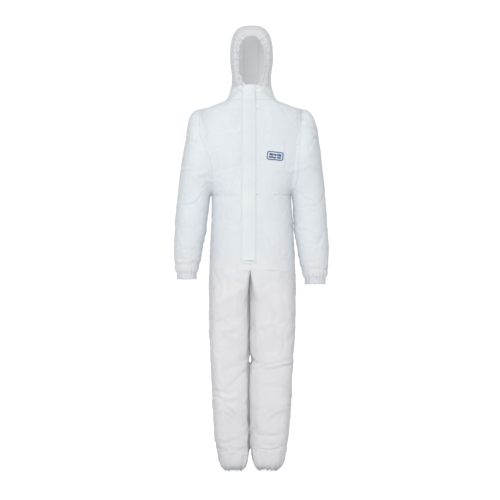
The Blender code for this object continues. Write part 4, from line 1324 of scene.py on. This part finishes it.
def flap_section(z, across, wave):
    """Outer line of the flap at this height, with both edges rolled under."""
    free = float(np.interp(z, (1.500, 1.518, 1.528, FLAP_HIGH), (FLAP_FREE, -0.033, -0.029, -0.021)))
    free += 0.0006 * wave
    high = FLAP_RISE + FLAP_RISE_AT_TAB * float(ease(z, 1.455, 1.480))
    line = [(free + 0.0050, -0.0005), (free + 0.0012, -0.0006), (free, -0.0014), (free + 0.0006, -0.0026)]
    for t in across:
        x = free + 0.0016 + (FLAP_SEWN - free - 0.0030) * t
        rise = (1 - abs(2 * t - 1) ** 3.2) ** 0.62
        rows_of_stitches = (x - FLAP_SEWN + STITCH_INSET_SEWN, x - free - STITCH_INSET_FREE)
        stitched = 0.0005 * sum(math.exp(-((away / 0.0012) ** 2)) for away in rows_of_stitches)
        line.append((x, -0.0028 - (high - 0.0016) * rise + stitched))
    line += [(FLAP_SEWN - 0.0004, -0.0020), (FLAP_SEWN, -0.0010), (FLAP_SEWN - 0.0002, -0.0003)]
    return line


def build_flap():
    levels = np.concatenate((np.linspace(FLAP_LOW + 0.0085, 1.49, 200), np.linspace(1.4925, FLAP_HIGH, 30)))
    across = np.linspace(0, 1, 29)
    wander = noise(np.column_stack((levels * 0, levels * 0, levels)), 0.09, 41)
    rows = [[zip_place(x, y, z) for x, y in flap_section(z, across, w)] for z, w in zip(levels, wander)]
    rows = np.array(rows)
    count = rows.shape[1]
    flat = rows.reshape(-1, 3)
    middle = np.clip(1 - np.abs((flat[:, 0] + 0.006) / 0.027) ** 4, 0, 1)
    ripple = noise(flat, 0.050, 42) * 0.0007 + noise(flat * np.array((1, 1, 1.6)), 0.016, 43) * 0.00022
    flat[:, 1] -= ripple * middle
    rows = flat.reshape(rows.shape)
    # the top is turned under
    over = rows[-1] + np.array((0, 0.0012, 0.0006))
    under = rows[-1] + np.array((0, 0.0022, -0.0030))
    rows = np.concatenate((rows, [over, under]))
    return link_mesh("storm_flap_fabric", rows.reshape(-1, 3), quads(len(rows), count), FLAP)


def stitches(name, places, ways, body, length=0.0024, wide=0.00035):
    """Short raised threads, each a small spindle."""
    made_points, made_faces = [], []
    for place, way in zip(places, ways):
        way = way / np.linalg.norm(way)
        across = np.cross(way, (0, 1, 0))
        across /= np.linalg.norm(across)
        out = np.cross(way, across)
        start = len(made_points)
        for t, r in ((-0.5, 0.35), (-0.25, 1.0), (0.25, 1.0), (0.5, 0.35)):
            for k in range(5):
                turn = 2 * math.pi * k / 5
                around = math.cos(turn) * across + math.sin(turn) * out
                made_points.append(place + way * t * length + wide * r * around)
        for i in range(3):
            low = start + i * 5
            for k in range(5):
                m = (k + 1) % 5
                made_faces.append((low + k, low + m, low + 5 + m, low + 5 + k))
        made_faces.append(tuple(start + k for k in reversed(range(5))))
        made_faces.append(tuple(start + 15 + k for k in range(5)))
    obj = link_mesh(name, made_points, made_faces, THREAD)
    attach(obj, body)
    return obj


flap = build_flap()
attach(flap, "flap")
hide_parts("storm_flap")
flap_tree = BVHTree.FromPolygons(
    [v.co.copy() for v in flap.data.vertices], [list(f.vertices) for f in flap.data.polygons]
)


def stitch_line(name, x_of, low, high, body, tree):
    places, ways = [], []
    for z in np.arange(low, high, 0.0038):
        hit = tree.ray_cast(Vector((x_of(z), -0.4, z)), Vector((0, 1, 0)))
        if hit[0] is not None:
            places.append(np.array(hit[0]) + np.array((0, -0.0001, 0)))
            ways.append(np.array((0, 0, 1.0)))
    return stitches(name, places, ways, body)


stitch_line("flap_stitches_sewn", lambda z: FLAP_SEWN - STITCH_INSET_SEWN, 0.842, 1.536, "flap", flap_tree)
stitch_line("flap_stitches_free", lambda z: FLAP_FREE + STITCH_INSET_FREE, 0.842, 1.500, "flap", flap_tree)


def soft_strip(
    name, x_low, x_high, z_low, z_high, base, high, finish, body, columns=40, rows_count=10, seed=51
):
    """A flat padded strip on the zip's line, with its edges rounded under."""
    grid = []
    for v in np.linspace(-1, 1, rows_count):
        row = []
        for u in np.linspace(-1, 1, columns):
            edge = max(0.0, (1 - abs(u) ** 14)) ** 0.5 * max(0.0, (1 - abs(v) ** 6)) ** 0.5
            x = (x_low + x_high) / 2 + (x_high - x_low) / 2 * u
            z = (z_low + z_high) / 2 + (z_high - z_low) / 2 * v
            row.append(zip_place(x, -base - high * edge, z))
        grid.append(row)
    grid = np.array(grid)
    flat = grid.reshape(-1, 3)
    flat[:, 1] -= 0.0002 * noise(flat, 0.012, seed)
    obj = link_mesh(name, flat, quads(rows_count, columns), finish)
    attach(obj, body)
    return obj


patch = soft_strip("flap_end_fabric", FLAP_FREE, FLAP_SEWN, 0.8250, 0.8380, 0.0002, 0.0024, FLAP, "torso")
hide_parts("flap_end_patch")
tack_places, tack_ways = [], []
for level in (0.8278, 0.8350):
    for x in np.arange(FLAP_FREE + 0.004, FLAP_SEWN - 0.003, 0.0034):
        tack_places.append(zip_place(x, -0.0028, level))
        tack_ways.append(np.array((1.0, 0, 0)))
stitches("flap_end_stitches", tack_places, tack_ways, "torso")

# ---------------------------------------------------------------- gusset, waist and zip


def grid_mesh(name, rows, finish, body="torso"):
    rows = np.array(rows)
    down, across, _ = rows.shape
    obj = link_mesh(name, rows.reshape(-1, 3), quads(down, across), finish)
    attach(obj, body)
    return obj


def gusset_rows():
    """A saddle of doubled fabric under the crotch, its long edges turned up."""
    rows = []
    for y in np.linspace(-0.1165, 0.1135, 90):
        sag = 0.002 * (1 - (y / 0.12) ** 2)
        row = []
        for u in np.linspace(-1, 1, 25):
            x = 0.0155 * u * (1 - 0.12 * math.cos(9 * y / 0.116) ** 2)
            turn = 0.0010 * max(0.0, abs(u) - 0.86) / 0.14
            pucker = 0.0005 * math.sin(y * 900) * abs(u) ** 3
            row.append((x, y, 0.8040 - sag - 14.0 * x * x + 0.0006 + turn + pucker))
        rows.append(row)
    return rows


gusset = grid_mesh("crotch_gusset_fabric", gusset_rows(), SUIT)
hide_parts("crotch_gusset")


def waist_rows():
    """Gathered elastic just inside the back, following the fabric."""
    rows = []
    for v in np.linspace(0, 1, 13):
        z = 1.0735 + 0.0230 * v
        row = []
        for turn in np.linspace(math.radians(104), math.radians(256), 420):
            way = Vector((math.sin(turn), -math.cos(turn), 0))
            hit = garment_tree.ray_cast(Vector((0, 0, z)), way)[0]
            rib = 0.0005 * math.sin(turn * 170) + 0.0003 * math.sin(turn * 61 + 9 * v)
            edge = 0.0006 * abs(2 * v - 1) ** 6
            row.append(np.array(hit - way * (0.0022 + rib + edge)))
        rows.append(row)
    return rows


waist = grid_mesh("waist_elastic_fabric", waist_rows(), BANDS)
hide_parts("waist_elastic")


def tape_rows(sign):
    """Woven tape behind the slit, ribbed along its length and a little wavy at its free edge."""
    rows = []
    for z in np.linspace(ZIP_LOW + 0.0005, ZIP_TOP, 320):
        row = []
        for u in np.linspace(0, 1, 17):
            wave = 0.0003 * math.sin(z * 210 + sign) * u + 0.00010 * math.sin(z * 1900)
            rib = 0.00008 * math.cos(u * 40) + 0.0003 * u**12
            row.append(zip_place(sign * (0.0009 + 0.0116 * u), 0.0032 + wave * 0.4 + rib, z))
        rows.append(row)
    return rows


def zip_finish(name, colour, rough, metallic, scale, bump):
    """Fine wear: the colour, the roughness and the surface all vary a little."""
    look, tree, shader = material(name, colour, rough, metallic)
    grain = tree.nodes.new("ShaderNodeTexNoise")
    grain.inputs["Scale"].default_value = scale
    grain.inputs["Detail"].default_value = 6
    shade = tree.nodes.new("ShaderNodeValToRGB")
    shade.color_ramp.elements[0].color = (*[c * 0.88 for c in colour], 1)
    shade.color_ramp.elements[1].color = (*colour, 1)
    wear = tree.nodes.new("ShaderNodeMapRange")
    wear.inputs["To Min"].default_value = rough * 0.8
    wear.inputs["To Max"].default_value = rough * 1.25
    relief = tree.nodes.new("ShaderNodeBump")
    relief.inputs["Strength"].default_value = bump
    relief.inputs["Distance"].default_value = 0.0002
    links = tree.links
    links.new(grain.outputs["Fac"], shade.inputs["Fac"])
    links.new(shade.outputs["Color"], shader.inputs["Base Color"])
    links.new(grain.outputs["Fac"], wear.inputs["Value"])
    links.new(wear.outputs["Result"], shader.inputs["Roughness"])
    links.new(grain.outputs["Fac"], relief.inputs["Height"])
    links.new(relief.outputs["Normal"], shader.inputs["Normal"])
    return look


TAPE = zip_finish("zip_tape_weave", (0.80, 0.81, 0.83), 0.75, 0.0, 900.0, 0.5)
NYLON = zip_finish("zip_coil_nylon", (0.82, 0.83, 0.84), 0.42, 0.0, 260.0, 0.2)
STEEL = zip_finish("zip_metal_worn", (0.62, 0.63, 0.65), 0.30, 1.0, 180.0, 0.2)
for side, sign in SIDES:
    tape = grid_mesh(f"zip_tape_{side}_fabric", tape_rows(sign), TAPE)
    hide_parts(f"zip_tape_{side}")
    edge_path = []
    for z in np.arange(SLIT_LOW + 0.004, 1.520, 0.004):
        hit = garment_tree.ray_cast(Vector((sign * (ZIP_HALF_SLIT + 0.0006), -0.4, z)), Vector((0, 1, 0)))[0]
        if hit is not None:
            edge_path.append(np.array(hit) + (0, 0.0006, 0))
    rolled = link_mesh(f"front_edge_{side}", *tube_points(edge_path, 0.0011), SUIT)
    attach(rolled, "torso")
for name in ("zip_coil_left", "zip_coil_right"):
    NODES[name].data.materials[0] = NYLON
for name in ("zip_slider", "zip_pull_tab", "zip_bottom_stop", "zip_top_stop_left", "zip_top_stop_right"):
    NODES[name].data.materials[0] = STEEL

# ---------------------------------------------------------------- badge


def badge_point(u, v, lift):
    """A point of the badge's flat pattern laid on the chest."""
    tilt = math.radians(-5.5)
    x = 0.0985 + u * math.cos(tilt) - v * math.sin(tilt)
    z = 1.2520 + u * math.sin(tilt) + v * math.cos(tilt)
    hit = garment_tree.ray_cast(Vector((x, -0.4, z)), Vector((0, 1, 0)))
    return np.array((x, hit[0].y - lift, z))


def rounded_outline(half_wide, half_high, corner, count=12):
    path = []
    for quarter, (sx, sy) in enumerate(((1, 1), (-1, 1), (-1, -1), (1, -1))):
        for k in range(count):
            turn = math.pi / 2 * (quarter + k / (count - 1))
            x = sx * (half_wide - corner) + corner * math.cos(turn)
            path.append((x, sy * (half_high - corner) + corner * math.sin(turn)))
    dense = []
    for a, b in zip(path, path[1:] + path[:1]):
        steps = max(1, int(math.dist(a, b) / 0.003))
        shares = [t / steps for t in range(steps)]
        dense += [(a[0] + (b[0] - a[0]) * t, a[1] + (b[1] - a[1]) * t) for t in shares]
    return dense


def badge_plate(name, half_wide, half_high, corner, lift, thick, finish, centre=(0.0, 0.0)):
    """A thin plate with a rounded outline and a softened rim, following the chest."""
    rim = rounded_outline(half_wide, half_high, corner)
    rings = [(1.0, lift - thick), (1.0, lift - 0.3 * thick)]
    rings += [(share, lift) for share in (0.985, 0.9, 0.72, 0.5, 0.25)]
    made_points, made_faces = [], []
    for share, height in rings:
        for u, v in rim:
            made_points.append(badge_point(centre[0] + u * share, centre[1] + v * share, height))
    count = len(rim)
    for i in range(len(rings) - 1):
        for k in range(count):
            m = (k + 1) % count
            made_faces.append((i * count + k, i * count + m, (i + 1) * count + m, (i + 1) * count + k))
    made_points.append(badge_point(centre[0], centre[1], lift))
    last = (len(rings) - 1) * count
    made_faces += [(last + k, last + (k + 1) % count, len(made_points) - 1) for k in range(count)]
    obj = link_mesh(name, made_points, made_faces, finish)
    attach(obj, "torso")
    return obj


ground = badge_plate("badge_ground", 0.0335, 0.0180, 0.0085, 0.0011, 0.0010, BADGE_WHITE)
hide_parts("chest_badge")


def badge_line(name, path, wide, lift=0.0015, closed=True):
    """A flat printed line along a path of the badge's pattern."""
    path = np.array(path)
    ahead = np.roll(path, -1, axis=0) if closed else np.vstack((path[1:], path[-1:] * 2 - path[-2:-1]))
    behind = np.roll(path, 1, axis=0) if closed else np.vstack((path[:1] * 2 - path[1:2], path[:-1]))
    way = ahead - behind
    way /= np.linalg.norm(way, axis=1, keepdims=True)
    side_way = np.column_stack((-way[:, 1], way[:, 0]))
    made_points, made_faces = [], []
    for p, n in zip(path, side_way):
        for offset_share, height in ((-1.0, lift - 0.0005), (-0.9, lift), (0.9, lift), (1.0, lift - 0.0005)):
            spot = p + n * offset_share * wide / 2
            made_points.append(badge_point(spot[0], spot[1], height))
    count = len(path)
    for i in range(count if closed else count - 1):
        n = (i + 1) % count
        for k in range(3):
            made_faces.append((i * 4 + k, i * 4 + k + 1, n * 4 + k + 1, n * 4 + k))
    obj = link_mesh(name, made_points, made_faces, BADGE_BLUE)
    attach(obj, "torso")
    return obj


badge_line("badge_border", rounded_outline(0.0305, 0.0150, 0.0062), 0.0046)
MARKS = (
    (-0.0160, 0.0044, 0.0180, 0.0100),
    (0.0000, 0.0044, 0.0110, 0.0090),
    (0.0160, 0.0042, 0.0170, 0.0104),
    (-0.0100, -0.0064, 0.0300, 0.0070),
    (0.0160, -0.0064, 0.0170, 0.0070),
)
for number, (u, v, wide, high) in enumerate(MARKS):
    path = [(u - wide / 2 + wide * t, v + 0.0004 * math.sin(6.28 * t)) for t in np.linspace(0, 1, 9)]
    badge_line(f"badge_mark_{number}", path, high, closed=False)

# ---------------------------------------------------------------- light, floor and camera


def area_light(name, place, aim, size, power, colour=(1, 1, 1)):
    light = bpy.data.lights.new(name, "AREA")
    light.shape = "DISK"
    light.size = size
    light.energy = power
    light.color = colour
    obj = bpy.data.objects.new(name, light)
    obj.location = place
    way = Vector(aim) - Vector(place)
    obj.rotation_euler = way.to_track_quat("-Z", "Y").to_euler()
    bpy.context.scene.collection.objects.link(obj)
    return obj


area_light("key", (-1.5, -5.0, 2.6), (0, 0, 1.0), 2.4, 104)
area_light("fill", (1.8, -5.0, 1.0), (0, 0, 0.6), 2.4, 38)

world = bpy.data.worlds.new("studio")
world.use_nodes = True
background = world.node_tree.nodes["Background"]
background.inputs["Color"].default_value = (1, 1, 1, 1)
background.inputs["Strength"].default_value = 0.715
seen = world.node_tree.nodes.new("ShaderNodeBackground")
seen.inputs["Color"].default_value = (1, 1, 1, 1)
seen.inputs["Strength"].default_value = 1.05
path = world.node_tree.nodes.new("ShaderNodeLightPath")
either = world.node_tree.nodes.new("ShaderNodeMixShader")
world.node_tree.links.new(path.outputs["Is Camera Ray"], either.inputs["Fac"])
world.node_tree.links.new(background.outputs["Background"], either.inputs[1])
world.node_tree.links.new(seen.outputs["Background"], either.inputs[2])
world.node_tree.links.new(either.outputs["Shader"], world.node_tree.nodes["World Output"].inputs["Surface"])
bpy.context.scene.world = world

bpy.ops.mesh.primitive_plane_add(size=30, location=(0, 0, -0.003))
floor = bpy.context.object
floor.name = "studio_floor"
floor_look, floor_tree, floor_shader = material("studio_floor", (0.62, 0.62, 0.62), 0.9)
glow = floor_tree.nodes.new("ShaderNodeLightPath")
shine = floor_tree.nodes.new("ShaderNodeMath")
shine.operation = "MULTIPLY"
shine.inputs[1].default_value = 0.72
floor_tree.links.new(glow.outputs["Is Camera Ray"], shine.inputs[0])
floor_tree.links.new(shine.outputs[0], floor_shader.inputs["Emission Strength"])
floor_shader.inputs["Emission Color"].default_value = (1, 1, 1, 1)
floor.data.materials.append(floor_look)

camera_data = bpy.data.cameras.new("camera")
camera_data.lens = 162.0
camera_data.sensor_width = 36.0
camera_data.clip_end = 60
camera = bpy.data.objects.new("camera", camera_data)
camera.location = (-0.001, -9.0, 0.880)
camera.rotation_euler = (math.radians(90), 0, 0)
bpy.context.scene.collection.objects.link(camera)
bpy.context.scene.camera = camera
bpy.context.scene.view_settings.view_transform = "Standard"
